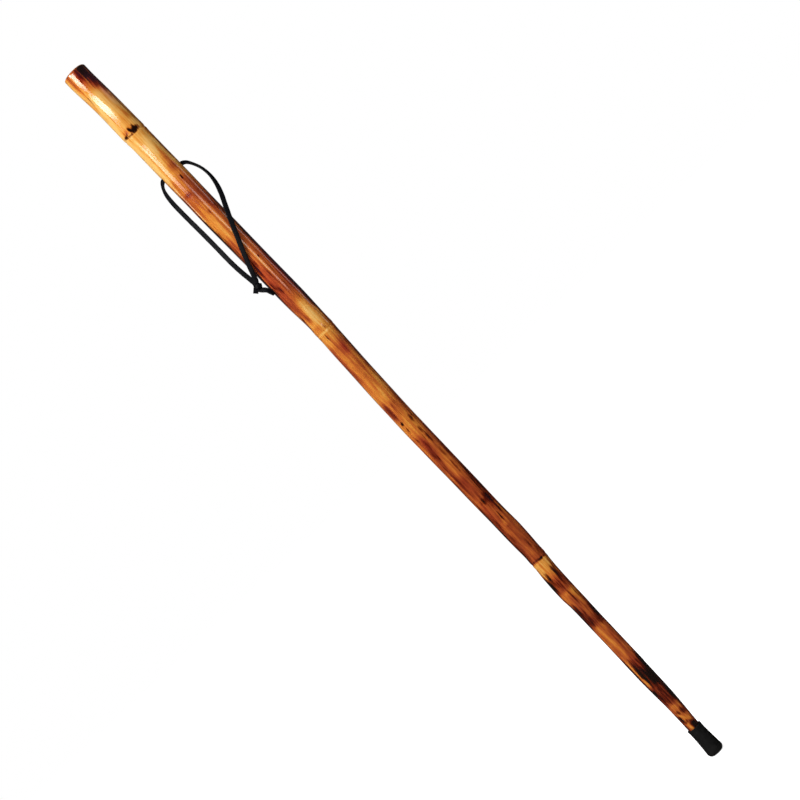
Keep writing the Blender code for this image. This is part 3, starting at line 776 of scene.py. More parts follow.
# Patches on the front, as flame, red dye, stain or lost gloss, with painted shadow of the lace and
# painted highlight along shine lines among them:
# place along, place across, reach up, reach down and reach sideways in the same pixels, strength,
# and sideways drift for each pixel down where there is one
front_patches = (
    # grip end: plum-black burn on the right with fingers below it, orange on the left
    ("scorch_and_painted_shade", (
        (2, 8.0, 10, 13, 5.4, 1.25), (12, 11.0, 13, 16, 2.8, 0.98, 0.05), (3, 2.6, 9, 8, 3.2, 0.66),
        (10, 0.8, 5, 6, 1.5, 0.56), (14, 8.4, 6, 8, 3.6, 0.70), (20, 8.0, 7, 9, 1.2, 0.50),
        (18, 5.4, 6, 7, 1.0, 0.46), (24, 11.8, 14, 16, 1.6, 0.72, 0.04),
        (31, -6.6, 7, 7, 1.0, 0.36),
    )),
    ("crimson", (
        (6, 1.8, 11, 11, 3.6, 1.00), (16, 8.0, 9, 9, 4.0, 0.95), (18, 11.5, 14, 26, 3.4, 1.00),
    )),
    ("stain_and_painted_highlight", (
        (4, 2.2, 8, 7, 3.2, 0.40), (21, 8.6, 9, 7, 3.8, 0.50), (12, 1.6, 8, 14, 2.6, 0.54),
        (10, -6.6, 14, 15, 3.6, 0.34, 0.08), (-3, -4, 3, 4, 9, 0.24),
        (12, -11.6, 16, 20, 1.2, -0.12, 0.05), (43, 7.4, 8, 9, 1.6, 0.12),
        (58, 10.2, 10, 10, 1.5, 0.36), (66, 11.8, 6, 6, 1.8, 0.24), (43, -8.6, 6, 6, 1.3, 0.20),
        (62, 1.0, 9, 10, 5.0, 0.12),
    )),
    # burn over the first growth ring: a low peak, a gap, a tall peak and a broad block
    ("scorch_and_painted_shade", (
        (83.9, 1.8, 1.2, 1.1, 12.5, 0.74), (82.7, -6.0, 1.7, 1.5, 2.9, 0.86),
        (80.9, -3.6, 2.2, 1.8, 1.3, 0.66, -0.6), (79.2, 2.0, 3.6, 3.2, 1.5, 1.10, 0.26),
        (81.6, 4.0, 2.4, 2.6, 2.4, 0.95), (81.4, 7.6, 3.4, 3.0, 3.7, 1.20),
        (78.6, 6.9, 3.4, 3.0, 1.1, 0.80), (83.0, 12.4, 1.8, 1.6, 1.8, 0.48),
    )),
    ("stain_and_painted_highlight", (
        (77.0, 2.0, 3.4, 4, 4.5, 0.16), (79.4, -2.6, 3, 3, 3.4, 0.34), (88.0, 0.0, 3, 6, 9.0, 0.08),
        (92.0, 11.4, 7, 10, 2.2, 0.26),
    )),
    # about the wrist lace's hole: cream on the left, orange and red streaks on the right
    ("stain_and_painted_highlight", (
        (114, 11.2, 11, 18, 2.0, 0.32), (124, 8.0, 10, 12, 3.0, 0.34), (134, 8.4, 4, 6, 4.2, 0.26),
        (145, 10.8, 14, 14, 3.2, 0.20), (142, 4.4, 14, 12, 1.6, 0.26), (148, 7.6, 9, 8, 2.4, 0.20),
        (160, 8.6, 10, 14, 1.8, 0.14), (152, -3.4, 7, 9, 1.8, 0.26),
        # The long narrow lighter row at 172 pixels down is painted highlight along the left shine
        # line
        (166.4, -0.2, 1.8, 2.2, 3.8, 0.28), (172, -5.6, 24, 26, 0.8, -0.26),
    )),
    ("crimson", (
        (158, 10.5, 26, 30, 2.6, 0.24), (167, -0.2, 2, 4, 3.8, 0.50),
    )),
    ("scorch_and_painted_shade", (
        (148.6, 7.9, 3.6, 3.4, 1.15, 1.10), (156, 8.2, 6, 7, 1.1, 0.46),
        (156, -2.6, 3, 4, 0.9, 0.32),
    )),
    # down to the crossing lace: orange, gold in the middle, red-brown on the right, with painted
    # shadow beside the lace and its tail, and painted highlight along a shine line
    ("stain_and_painted_highlight", (
        (192, 12.0, 26, 34, 3.6, 0.16), (193.2, 4.4, 3, 3, 1.6, 0.30),
        (210, -0.6, 14, 18, 3.4, -0.16), (205, 4.6, 12, 14, 2.0, 0.15),
        (180, -3.6, 12, 14, 1.5, 0.12), (254, 5.6, 10, 14, 2.6, -0.10, 0.15),
        # The two long narrow lighter rows at 194 and 268 pixels down are painted highlight along
        # the lacquer's shine line
        (194, 6.9, 38, 34, 1.0, -0.12), (268, 8.2, 30, 38, 1.0, -0.20, 0.008),
        (290, 13.4, 16, 14, 1.6, 0.20),
    )),
    ("crimson", (
        (200, 12.0, 34, 60, 3.6, 0.45), (290, 16.0, 50, 34, 3.4, 1.00),
        (280, 0.6, 40, 40, 6.5, 0.72),
    )),
    ("scorch_and_painted_shade", (
        (204, 14.2, 18, 28, 2.3, 0.56), (193.2, 4.4, 1.8, 1.8, 0.9, 0.48),
        (197.8, 3.4, 0.9, 0.9, 9, 0.26), (222, -5.0, 12, 12, 1.2, 0.60),
        (258.6, 9.8, 2.0, 2.2, 1.0, 0.90), (279, 5.9, 6, 8, 1.1, 0.36),
        # The rows at 265, 292 and 299 pixels down are painted shadow of the crossing lace and of
        # its long tail
        (286, 11.0, 30, 26, 1.1, 0.28), (265, 0.8, 7, 15, 2.2, 0.72, -0.20),
        (300, 17.2, 50, 34, 2.2, 0.90), (299, 2.6, 8, 6, 1.8, 0.66, 0.20),
        (292, -0.8, 7, 8, 1.6, 0.56, 0.14),
    )),
    # red on the left, and a cream length on the right that ends at the second growth ring
    ("stain_and_painted_highlight", (
        (312, -0.8, 12, 14, 2.8, 0.14), (318, 10.3, 12, 12, 1.2, -0.18),
        (331, 10.0, 13, 17, 4.3, -0.34), (326, 0.4, 8, 10, 2.2, 0.14), (338, 3.0, 7, 6, 2.8, 0.24),
        (347.5, 1.4, 3, 4, 3.4, -0.14), (353, 3.4, 3, 4, 4, 0.10),
        (359.8, 5.4, 0.8, 1.0, 6.6, -0.38), (371, 1.4, 6, 6, 2.6, -0.05),
        (374, 12.2, 8, 9, 2.4, 0.24), (384, 9.8, 8, 9, 3.4, 0.22), (392, -1.8, 14, 36, 1.7, 0.26),
        (402, 10.8, 14, 18, 2.6, 0.20), (418, 0.2, 13, 12, 3.8, 0.18),
    )),
    ("scorch_and_painted_shade", (
        (312, 12.6, 12, 12, 1.2, 0.50), (339, 3.0, 5, 5, 1.2, 0.20), (336, -2.0, 8, 7, 0.9, 0.46),
        (355.6, 9.4, 4, 2.4, 3.4, 0.36), (366, 3.9, 5, 5, 0.95, 0.54),
        (361.8, -1.0, 1.6, 3, 1.2, 0.42), (385, 0.4, 6, 7, 0.7, 0.30),
    )),
    ("crimson", (
        (384, 9.8, 8, 9, 3.2, 0.80), (396, -2.2, 14, 30, 1.4, 0.26),
    )),
    # amber, then dark red on the left with two black eyes in a gold streak
    ("scorch_and_painted_shade", (
        (426, 7.4, 8, 10, 0.9, 0.20), (440, 3.2, 14, 12, 0.7, 0.18), (466, -1.4, 12, 11, 2.2, 0.24),
        (460, 4.7, 7, 14, 1.1, 0.54), (458, 8.5, 3, 3, 1.8, 0.34),
        (480.4, -1.1, 2.5, 2.3, 1.3, 1.20), (488.4, -0.9, 4.8, 4.0, 1.2, 0.68),
        (482, 9.9, 7, 6, 1.5, 0.78), (496, 9.2, 5, 5, 1.4, 0.64), (482, 4.9, 5, 5, 0.7, 0.42),
        (479, 12.8, 3, 4, 1.4, 0.52),
    )),
    ("stain_and_painted_highlight", (
        (450, 2.0, 9, 6, 1.8, -0.12), (464, -1.4, 10, 12, 2.6, 0.50), (460, 2.3, 6, 11, 1.5, -0.26),
        (460, 4.7, 8, 8, 1.5, 0.30), (485, 3.0, 8, 14, 2.0, -0.14), (472, 7.6, 8, 8, 1.8, -0.10),
    )),
    # mahogany with long dark streaks
    ("scorch_and_painted_shade", (
        (503, -0.9, 5, 9, 1.0, 0.48), (513, 3.7, 7, 9, 1.8, 0.60), (508, 10.3, 9, 9, 1.5, 0.64),
        (503, 6.5, 4, 6, 0.8, 0.40), (528, 3.0, 8, 7, 1.3, 0.44), (527, 0.8, 6, 6, 1.4, 0.40),
        (526, 10.4, 8, 12, 2.2, 0.36), (562, 0.8, 28, 22, 1.3, 0.30), (541, -0.4, 4, 6, 0.9, 0.46),
        (546, 9.9, 9, 12, 1.6, 0.44), (572, 12.4, 14, 14, 2.0, 0.56), (592, 12.0, 8, 10, 3.6, 0.80),
        (592, 6.4, 4.4, 4.6, 4.4, 0.60), (601, 9.3, 5, 5, 0.95, 0.50), (604, 12.4, 6, 9, 1.6, 0.66),
        (599, 6.8, 4, 5, 0.8, 0.44), (613, 8.0, 6, 7, 1.0, 0.56), (626.8, 6.0, 1.5, 1.5, 2.6, 0.36),
        (632, 0.8, 24, 22, 1.3, 0.50), (645, 1.9, 10, 12, 0.9, 0.38),
        (656, 10.2, 14, 16, 1.4, 0.42), (664, 11.9, 8, 9, 1.8, 0.52),
        (672.6, 9.0, 1.4, 1.2, 5.0, 0.92), (671.4, 2.0, 1.6, 1.3, 4.4, 0.46),
    )),
    ("stain_and_painted_highlight", (
        (512, 3.2, 8, 11, 2.4, 0.24), (512, 6.9, 12, 22, 1.3, -0.24), (527, 1.4, 8, 9, 2.6, 0.28),
        (545, 5.4, 9, 14, 2.0, -0.12), (562, 0.8, 28, 22, 1.7, 0.32),
        (556, -1.6, 26, 28, 0.8, -0.12), (516, -3.0, 22, 16, 1.2, -0.22),
        (622, 6.0, 5, 3.8, 2.8, -0.30), (636, 3.4, 14, 12, 0.8, -0.10),
        (634, -0.4, 26, 24, 2.4, 0.16), (654, 4.8, 8, 8, 2.0, 0.12),
    )),
    ("crimson", (
        (508, 2.4, 6, 14, 2.6, 0.60), (566, 5.0, 10, 14, 3.6, 0.40), (594, 11.4, 9, 10, 3.0, 0.45),
        (604, 1.6, 16, 16, 2.6, 0.40),
    )),
    # third growth ring: honey below it in a wedge, between burnt tongues
    ("scorch_and_painted_shade", (
        (690, 10.2, 7, 14, 2.5, 0.86), (699, 8.4, 6, 9, 1.5, 0.60), (697, 0.5, 13, 11, 1.8, 0.80),
        (690, -2.4, 3, 4, 0.9, 0.55), (702, -2.9, 12, 11, 1.8, 0.92), (704, 4.6, 8, 9, 4.4, 0.42),
        (706, 9.4, 6, 4, 2.2, 0.44), (723, 5.7, 10, 11, 1.0, 0.60), (722, 11.0, 8, 11, 1.0, 0.50),
        (744, 4.0, 12, 16, 9.0, 0.36), (736, -1.4, 12, 14, 2.2, 0.66),
        (747, -1.6, 12, 15, 3.0, 0.62), (749, 11.6, 13, 12, 2.6, 0.66), (754, 1.9, 8, 8, 2.6, 0.60),
        (755, 8.9, 8, 8, 1.8, 0.58), (743, 6.4, 7, 7, 2.2, -0.16),
    )),
    ("crimson", (
        (700, 4.6, 9, 12, 4.0, 0.30),
    )),
    ("stain_and_painted_highlight", (
        (689, 4.4, 8, 8, 1.7, -0.10), (716, 3.0, 3, 5, 2.0, -0.18), (717, 8.6, 4, 6, 1.8, -0.12),
        (743, 6.4, 8, 8, 2.6, -0.26),
    )),
    # amber length, with red on its right
    ("stain_and_painted_highlight", (
        (776, 2.0, 13, 20, 2.8, -0.06), (778, 8.8, 14, 16, 3.0, 0.12), (790, 3.0, 5, 6, 2.0, 0.06),
    )),
    ("crimson", (
        (776, 8.6, 8, 12, 2.4, 0.30),
    )),
    ("scorch_and_painted_shade", (
        (778, 7.6, 8, 12, 0.9, 0.26), (766, 6.6, 6, 6, 0.8, 0.38), (776, -0.6, 14, 16, 0.9, 0.34),
    )),
    # the foot was held in the flame: black, with a gold sliver left on its left
    ("scorch_and_painted_shade", (
        (827, 2.0, 19, 21, 3.6, 1.00), (834, 7.8, 16, 15, 5.4, 1.05), (814, 7.4, 5, 12, 3.4, 0.40),
        (819, 11.4, 8, 16, 2.6, 0.92), (857, 5.0, 14, 13, 9.0, 0.54),
        (824, -1.0, 20, 14, 0.55, -0.80), (824, -2.9, 20, 18, 1.1, 0.95),
        (838, -0.3, 7, 6, 1.0, -0.80), (849, -1.4, 3, 6, 1.8, 1.00), (850, 6.0, 7, 6, 6.0, 0.56),
        (861, 10.8, 12, 10, 2.4, 1.05), (857, 0.7, 7, 8, 0.9, 0.62), (859, 4.7, 7, 8, 0.8, 0.56),
        (861, 7.6, 7, 8, 1.0, 0.64), (873, 3.4, 3.0, 3.4, 6.0, -0.16),
        (880.5, 8.4, 4.4, 4.4, 4.6, 0.74), (880, 2.6, 3.0, 3, 2.2, 0.50, 0.3),
        (884, 2.0, 6, 6, 1.2, -0.20, 0.55), (889, 0.4, 6, 5, 2.4, 0.74, 0.25),
        (892, 2.2, 3.4, 2.6, 2.4, 0.74), (899, -1.4, 5, 8, 1.3, 0.36),
        (898, 4.6, 5, 8, 1.4, 0.72, 0.30), (899, 7.6, 7, 14, 4.0, 0.95),
        (897, 4.8, 4, 6, 1.0, 0.66),
    )),
    ("crimson", (
        (812, 6.4, 7, 10, 3.6, 0.50),
    )),
    ("stain_and_painted_highlight", (
        (824, -1.0, 20, 14, 0.8, -0.62), (838, -0.2, 7, 6, 1.4, -0.54),
        (873, 3.8, 3.2, 3.2, 6.5, -0.06), (884, 2.0, 6, 6, 1.3, -0.26, 0.55),
        (889, 7.0, 4, 4, 2.4, -0.20), (898, 1.6, 5, 9, 1.1, -0.16, 0.42),
    )),
    # places where the lacquer was rubbed dull
    ("gloss", (
        (70, 4.0, 15, 12, 14.0, -1.00), (91, 4.0, 13, 11.5, 14.0, -1.00),
        (124, 0.0, 24, 30, 9.0, -0.32), (176, 0.6, 22, 30, 3.8, -0.90),
        (122, 3.4, 26, 30, 1.7, -0.50), (146, 7.6, 14, 12, 2.6, -0.70),
        (21, -5.6, 13, 11, 3.4, -1.00, 0.08), (14, 1.9, 18, 18, 2.9, -1.00),
        (24, -1.6, 6, 5, 3.0, -0.35),
    )),
)
# Patches round the back, where the flame went over the wood in long licks: place along, angle
# from the front (left is below 0), half length, half width in degrees, and strength
back_patches = (
    ("scorch_and_painted_shade", (
        (30, 170, 34, 40, 0.95), (150, -160, 26, 22, 0.70), (90, -140, 14, 20, 0.60),
        (250, 150, 30, 26, 0.85), (350, 170, 14, 30, 0.60), (420, -165, 34, 24, 0.75),
        (530, 178, 30, 24, 0.70), (600, -150, 24, 30, 0.90), (700, -175, 20, 30, 0.80),
        (810, 170, 22, 40, 1.00), (870, -155, 14, 30, 0.70),
    )),
    ("stain_and_painted_highlight", (
        (110, 150, 40, 46, 0.40), (210, 175, 30, 40, 0.32), (330, -150, 40, 40, 0.34),
        (470, 150, 40, 30, -0.24), (650, 160, 22, 30, -0.22), (760, 165, 22, 34, -0.30),
    )),
)
# The two flanks darken towards the outline, the right one as burn and painted shade: place along,
# strength, and width in pixels
right_flank_burn_and_shade = (
    (-8, 1.00, 3.0), (26, 0.84, 3.2), (50, 0.62, 2.9), (84, 0.60, 2.6), (120, 0.60, 2.4),
    (140, 0.60, 2.4), (165, 0.52, 2.2), (200, 0.84, 3.0), (235, 0.90, 3.6), (300, 1.05, 4.6),
    (326, 1.00, 4.2), (345, 0.78, 3.0), (400, 0.66, 3.0), (450, 0.52, 3.2), (500, 0.50, 3.3),
    (532, 0.50, 3.2), (560, 0.64, 4.0), (606, 0.66, 3.4), (640, 0.40, 2.4), (672, 0.68, 2.8),
    (680, 0.68, 2.6), (700, 0.66, 3.0), (720, 0.62, 2.6), (750, 0.92, 4.0), (766, 0.62, 2.4),
    (800, 0.64, 2.4), (816, 1.00, 4.6), (862, 1.00, 3.6), (876, 0.88, 2.6), (886, 0.70, 1.6),
    (900, 0.95, 3.0),
)
left_flank = (
    (-8, 0.26, 1.2), (60, 0.24, 1.2), (120, 0.28, 1.2), (147, 0.38, 1.6), (165, 0.70, 2.0),
    (204, 0.84, 2.4), (218, 0.92, 3.4), (232, 0.92, 3.0), (300, 0.92, 2.4), (316, 0.52, 2.0),
    (345, 0.60, 1.6), (372, 0.52, 1.6), (385, 0.40, 1.8), (410, 0.50, 2.0), (430, 0.48, 2.0),
    (455, 0.44, 1.6), (470, 0.34, 1.6), (535, 0.42, 1.7), (550, 0.58, 1.8), (590, 0.66, 1.8),
    (606, 0.86, 2.4), (672, 0.92, 2.2), (675, 0.46, 1.4), (688, 0.56, 1.6), (694, 0.95, 2.6),
    (710, 0.90, 2.4), (716, 0.56, 1.8), (732, 0.80, 2.6), (758, 0.80, 2.2), (766, 0.52, 1.5),
    (800, 0.60, 1.5), (808, 0.95, 2.0), (850, 1.00, 2.2), (868, 0.62, 1.8), (876, 0.52, 1.4),
    (884, 0.76, 1.8), (900, 0.76, 1.8),
)

# Where each point of the surface stands in the photograph, in pixels along and across, and how
# far round to the back it is. The two fades say how squarely patches and flanks end.
first_along = 2.5
middle_across = 4.3
front_ends = 0.30
flank_thins = 0.45
patch_fade = 2.4
flank_fade = 2.2
end_cut_from = dome_foot + 0.0012
end_cut_fade = 0.0010
spots = np.empty(len(drilled.vertices) * 3)
drilled.vertices.foreach_get("co", spots)
spots = spots.reshape(-1, 3)
heart = np.array([line_at.get(round(z, 6), heart_line(z)) for z in spots[:, 2]])
offset_x = spots[:, 0] - heart
around = np.degrees(np.arctan2(offset_x, -spots[:, 1]))
nearer = eye_distance / (eye_distance + spots[:, 1])
seen_height = view_middle.z + (spots[:, 2] - view_middle.z) * nearer
along_px = (stick_length - seen_height) / pixel - first_along
across_px = middle_across + (view_middle.x + (spots[:, 0] - view_middle.x) * nearer) / pixel
radius_px = np.maximum(np.hypot(offset_x, spots[:, 1]), 0.001) / pixel
to_back = np.clip(spots[:, 1] / (front_ends * radius_px * pixel), 0.0, 1.0)


def read_along(rows, column=1):
    """Read a column of a table of places along the stick, at every point of the wood."""
    return np.interp(along_px, [row[0] for row in rows], [row[column] for row in rows])


def patch(*shares):
    """1 in a patch's middle and 0 outside it. Shares are distances over the patch's reach."""
    return np.exp(-sum(np.abs(share) ** patch_fade for share in shares))


layers = {
    "stain_and_painted_highlight": read_along(tone_run),
    "scorch_and_painted_shade": np.zeros(len(spots)),
    "crimson": np.zeros(len(spots)),
    "gloss": np.ones(len(spots)),
}


def paint(kind, near, strength):
    """Add a patch: stains and painted highlights add up; flame, painted shade and red dye keep the
    strongest, or are wiped off.
    """
    if kind == "stain_and_painted_highlight" or strength < 0:
        layers[kind] = layers[kind] + strength * near
    else:
        layers[kind] = np.maximum(layers[kind], strength * near)


# Each flank darkens towards its outline; on the right this is painted shade as well as burn
for rows, side in ((right_flank_burn_and_shade, 1.0), (left_flank, -1.0)):
    inward = radius_px * (1.0 - side * np.sin(np.radians(around)))
    inward *= 1.0 - flank_thins * to_back
    flank_darkening = np.exp(-(inward / read_along(rows, 2)) ** flank_fade) * read_along(rows)
    paint("scorch_and_painted_shade", flank_darkening, 1.0)
for kind, rows in front_patches:
    for place, across, up, down, sideways, strength, *drift in rows:
        below = along_px - place
        aside = across_px - across - (drift[0] if drift else 0.0) * below
        near = patch(below / np.where(below < 0, up, down), aside / sideways)
        paint(kind, near * (1.0 - to_back), strength)
for kind, rows in back_patches:
    for place, angle, half_long, half_wide, strength in rows:
        turned = (around - angle + 180.0) % 360.0 - 180.0
        paint(kind, patch((along_px - place) / half_long, turned / half_wide), strength)
layers["gloss"] = np.clip(layers["gloss"], 0.0, 1.0)
layers["end_cut"] = np.clip((spots[:, 2] - end_cut_from) / end_cut_fade, 0.0, 1.0)
for layer, values in layers.items():
    attribute = drilled.attributes.new(layer, "FLOAT", "POINT")
    attribute.data.foreach_set("value", values.astype(np.float32))
drilled.polygons.foreach_set("use_smooth", np.ones(len(drilled.polygons), bool))

lacquer = Finish(
    "flame_burnt_lacquered_wood", Roughness=0.5, Specular_IOR_Level=0.0,
    Coat_Roughness=0.085, Coat_IOR=1.5,
)
long_grain = lacquer.mottle(400.0, 4.0, along=0.05)
broad_grain = lacquer.mottle(190.0, along=0.07, distortion=0.3)
fine_grain = lacquer.mottle(1500.0, along=0.030)
licks = lacquer.mottle(240.0, 5.0, along=0.20, roughness=0.6, distortion=0.6)
clouds = lacquer.mottle(90.0, 4.0, along=0.40)
tone = lacquer.painted("stain_and_painted_highlight")
for pattern, low, high, amount in (
    (long_grain, 0.34, 0.66, 0.28), (broad_grain, 0.36, 0.64, 0.20),
    (clouds, 0.35, 0.65, 0.16), (fine_grain, 0.3, 0.7, 0.12),
):
    tone = lacquer.maths("ADD", tone, lacquer.swing(pattern, low, high, amount))
flank_colour = lacquer.ramp(tone, (
    (0.00, (0.78, 0.45, 0.135)),
    (0.18, (0.72, 0.36, 0.080)),
    (0.36, (0.64, 0.230, 0.032)),
    (0.54, (0.50, 0.125, 0.020)),
    (0.74, (0.33, 0.060, 0.014)),
    (1.00, (0.15, 0.018, 0.006)),
))
# Fire browns the wood first and then chars it, with an edge that follows the grain. The painted
# shadow of the lace and the painted shade on the right flank are browned and blackened the same
# way.
scorch_and_shade = lacquer.painted("scorch_and_painted_shade")
ragged = lacquer.spread(scorch_and_shade, 0.04, 0.34, 0.50, 1.0)
burn_and_shade = scorch_and_shade
for pattern, low, high, amount in (
    (licks, 0.34, 0.66, 0.34), (long_grain, 0.34, 0.66, 0.34), (fine_grain, 0.3, 0.7, 0.14),
):
    burn_and_shade = lacquer.maths("MULTIPLY_ADD", lacquer.swing(pattern, low, high, amount), ragged, burn_and_shade)
browned = lacquer.spread(burn_and_shade, 0.16, 0.56)
blackened = lacquer.spread(burn_and_shade, 0.48, 0.86)
dyed = lacquer.painted("crimson")
flank_colour = lacquer.blend(dyed, flank_colour, (0.88, 0.42, 0.86), "MULTIPLY")
flank_colour = lacquer.blend(browned, flank_colour, (0.36, 0.20, 0.15), "MULTIPLY")
char_and_shadow_colour = lacquer.blend(dyed, (0.010, 0.0038, 0.0026), (0.040, 0.007, 0.014))
flank_colour = lacquer.blend(blackened, flank_colour, char_and_shadow_colour)

# End grain on the dome: years of growth about the heart, darker lines of late wood
heart_left = 0.0047
year_width = 0.00125
year_wander = 0.0030
edge_inner, edge_outer = 0.0146, 0.0188
crumbs_inner, crumbs_outer = 0.0100, 0.0118
crumbs_wander = -0.0016
apart = lacquer.node("ShaderNodeSeparateXYZ", Vector=lacquer.place(move=(heart_left, 0.0, 0.0)))
flat = lacquer.node("ShaderNodeCombineXYZ", X=apart.outputs["X"], Y=apart.outputs["Y"])
distance = lacquer.node("ShaderNodeVectorMath", {"operation": "LENGTH"}, i0=flat.outputs[0])
distance = distance.outputs["Value"]
uneven_growth = lacquer.mottle(70.0, 1.0, along=0.2)
years = lacquer.maths("MULTIPLY_ADD", uneven_growth, year_wander, distance)
years = lacquer.maths("FRACT", lacquer.maths("DIVIDE", years, year_width))
late_wood = lacquer.ramp(years, (
    (0.00, (0.74, 0.44, 0.17)),
    (0.45, (0.68, 0.36, 0.115)),
    (0.80, (0.58, 0.27, 0.070)),
    (0.92, (0.46, 0.19, 0.045)),
    (1.00, (0.70, 0.40, 0.145)),
))
pith_rays = lacquer.spread(lacquer.mottle(900.0, 4.0), 0.35, 0.75, 0.0, 0.30)
end_colour = lacquer.blend(pith_rays, late_wood, (0.45, 0.18, 0.04))
blotches = lacquer.mottle(150.0, 4.0)
to_edge = lacquer.maths("MULTIPLY_ADD", blotches, year_wander, distance)
to_edge = lacquer.spread(to_edge, edge_inner, edge_outer, 0.0, 0.85)
end_colour = lacquer.blend(to_edge, end_colour, (0.74, 0.40, 0.22), "MULTIPLY")
# The boring tool tore the mouth of the recess: brown crumbs with pale fibres between them
crumbs = lacquer.mottle(1200.0, 6.0, roughness=0.6, distortion=0.8)
torn_mouth = lacquer.maths("ADD", blotches, crumbs)
torn_mouth = lacquer.maths("MULTIPLY_ADD", torn_mouth, crumbs_wander, distance)
torn_mouth = lacquer.spread(torn_mouth, crumbs_inner, crumbs_outer, 1.0, 0.0)
torn_mouth = lacquer.maths("MULTIPLY", torn_mouth, lacquer.painted("end_cut"))
crumb_colour = lacquer.ramp(crumbs, (
    (0.32, (0.28, 0.120, 0.050)),
    (0.50, (0.50, 0.260, 0.120)),
    (0.68, (0.78, 0.520, 0.300)),
))
end_colour = lacquer.blend(lacquer.maths("MULTIPLY", torn_mouth, 0.75), end_colour, crumb_colour)
end_burn = lacquer.spread(scorch_and_shade, 0.5, 1.1, 0.0, 0.45)
end_colour = lacquer.blend(end_burn, end_colour, (0.12, 0.035, 0.01))
crumb_height = lacquer.maths("MULTIPLY", crumbs, torn_mouth)
fibres = lacquer.relief(long_grain, 0.00018, 0.5, lacquer.relief(fine_grain, 0.00006, 0.4))
peel = lacquer.relief(lacquer.mottle(160.0, 1.0, along=0.25), 0.00006, 0.20)
lacquer.wear(
    Base_Color=lacquer.blend(lacquer.painted("end_cut"), flank_colour, end_colour),
    Roughness=lacquer.spread(licks, 0.3, 0.7, 0.42, 0.58),
    Normal=lacquer.relief(crumb_height, 0.0005, 0.9, fibres),
    Coat_Normal=lacquer.relief(crumb_height, 0.0003, 0.8, peel),
    Coat_Weight=lacquer.painted("gloss"),
)

raw = Finish("bare_bored_wood", Roughness=0.75, Specular_IOR_Level=0.3)
raw_fibre = raw.mottle(1500.0, 4.0, along=0.12)
raw_colour = raw.ramp(raw.mottle(300.0, along=0.5), (
    (0.30, (0.74, 0.52, 0.30)),
    (0.55, (0.60, 0.36, 0.17)),
    (0.75, (0.36, 0.18, 0.07)),
))
raw_furrows = raw.spread(raw_fibre, 0.45, 0.8, 0.0, 0.6)
raw.wear(
    Base_Color=raw.blend(raw_furrows, raw_colour, (0.30, 0.14, 0.05)),
    Normal=raw.relief(raw_fibre, 0.0003, 0.8),
)
drilled.materials.append(lacquer.material)
drilled.materials.append(raw.material)
end_middle = heart_line(stick_length)
bare_from = recess_floor - 0.001
bare_recess = 1.03 * recess_radius
bare_hole = 1.02 * hole_radius
for face in drilled.polygons:
    x, y, z = face.center
    in_recess = math.hypot(x - end_middle, y) < bare_recess and z > bare_from
    in_hole = math.hypot(y, z - hole_place.z) < bare_hole and abs(x) < hole_half_length
    face.material_index = 1 if in_recess or in_hole else 0
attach(wood, "root")
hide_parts("shaft")


# Compass. A 20 mm button compass sits in the recess: a satin black moulded case, a clear
# acrylic lens let into its rim, and a black card that turns on a steel point.
case_low, case_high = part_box("compass_case")
lens_low, lens_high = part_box("compass_lens")
compass_middle = (case_low + case_high) / 2
case_radius = (case_high.x - case_low.x) / 2
case_top = case_high.z
case_edge = 0.0004
case_lip_edge = 0.0001
cavity_radius = case_radius - 0.0013
cavity_floor = case_low.z + 0.0012
well_radius = 0.0013
well_floor = case_low.z + 0.0006
lens_radius = (lens_high.x - lens_low.x) / 2
lens_bottom = lens_low.z
lens_gap = 0.0003
lens_edge = 0.00012
lens_crown = 0.0004
ledge_radius = lens_radius + lens_gap
card_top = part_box("compass_card")[1].z


def turn_piece(profile, middle=(0.0, 0.0), steps=128):
    """A piece turned about an upright axis from (radius, height) points."""
    made = profile_shape(profile)
    turn_round(made, steps)
    bmesh.ops.recalc_face_normals(made, faces=made.faces)
    bmesh.ops.translate(made, vec=(*middle, 0.0), verts=made.verts)
    return made


satin_black = Finish("satin_black_moulding", Roughness=0.34, Specular_IOR_Level=0.5)
mould_grain = satin_black.mottle(2600.0)
handling = satin_black.mottle(260.0, 5.0)
handled = satin_black.spread(handling, 0.45, 0.8)
satin_black.wear(
    Base_Color=satin_black.blend(handled, (0.010, 0.010, 0.012), (0.022, 0.022, 0.024)),
    Roughness=satin_black.spread(handling, 0.3, 0.7, 0.28, 0.46),
    Normal=satin_black.relief(mould_grain, 0.00003, 0.5),
)
case = turn_piece(
    [(0.0, well_floor), (well_radius, well_floor), (well_radius, cavity_floor)]
    + [(cavity_radius, cavity_floor), (cavity_radius, lens_bottom - lens_gap)]
    + [(ledge_radius, lens_bottom - lens_gap), (ledge_radius, case_top - case_lip_edge)]
    + [(ledge_radius + case_lip_edge, case_top)]
    + rounded((case_radius - case_edge, case_top - case_edge), case_edge, 90, -90)
    + [(case_radius, case_low.z + case_edge), (case_radius - case_edge, case_low.z)]
    + [(0.0, case_low.z)],
    compass_middle.xy,
)
soften(case, 35)
compass_case = finished("compass_black_case", case, satin_black.material)
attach(compass_case, "root")
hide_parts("compass_case")

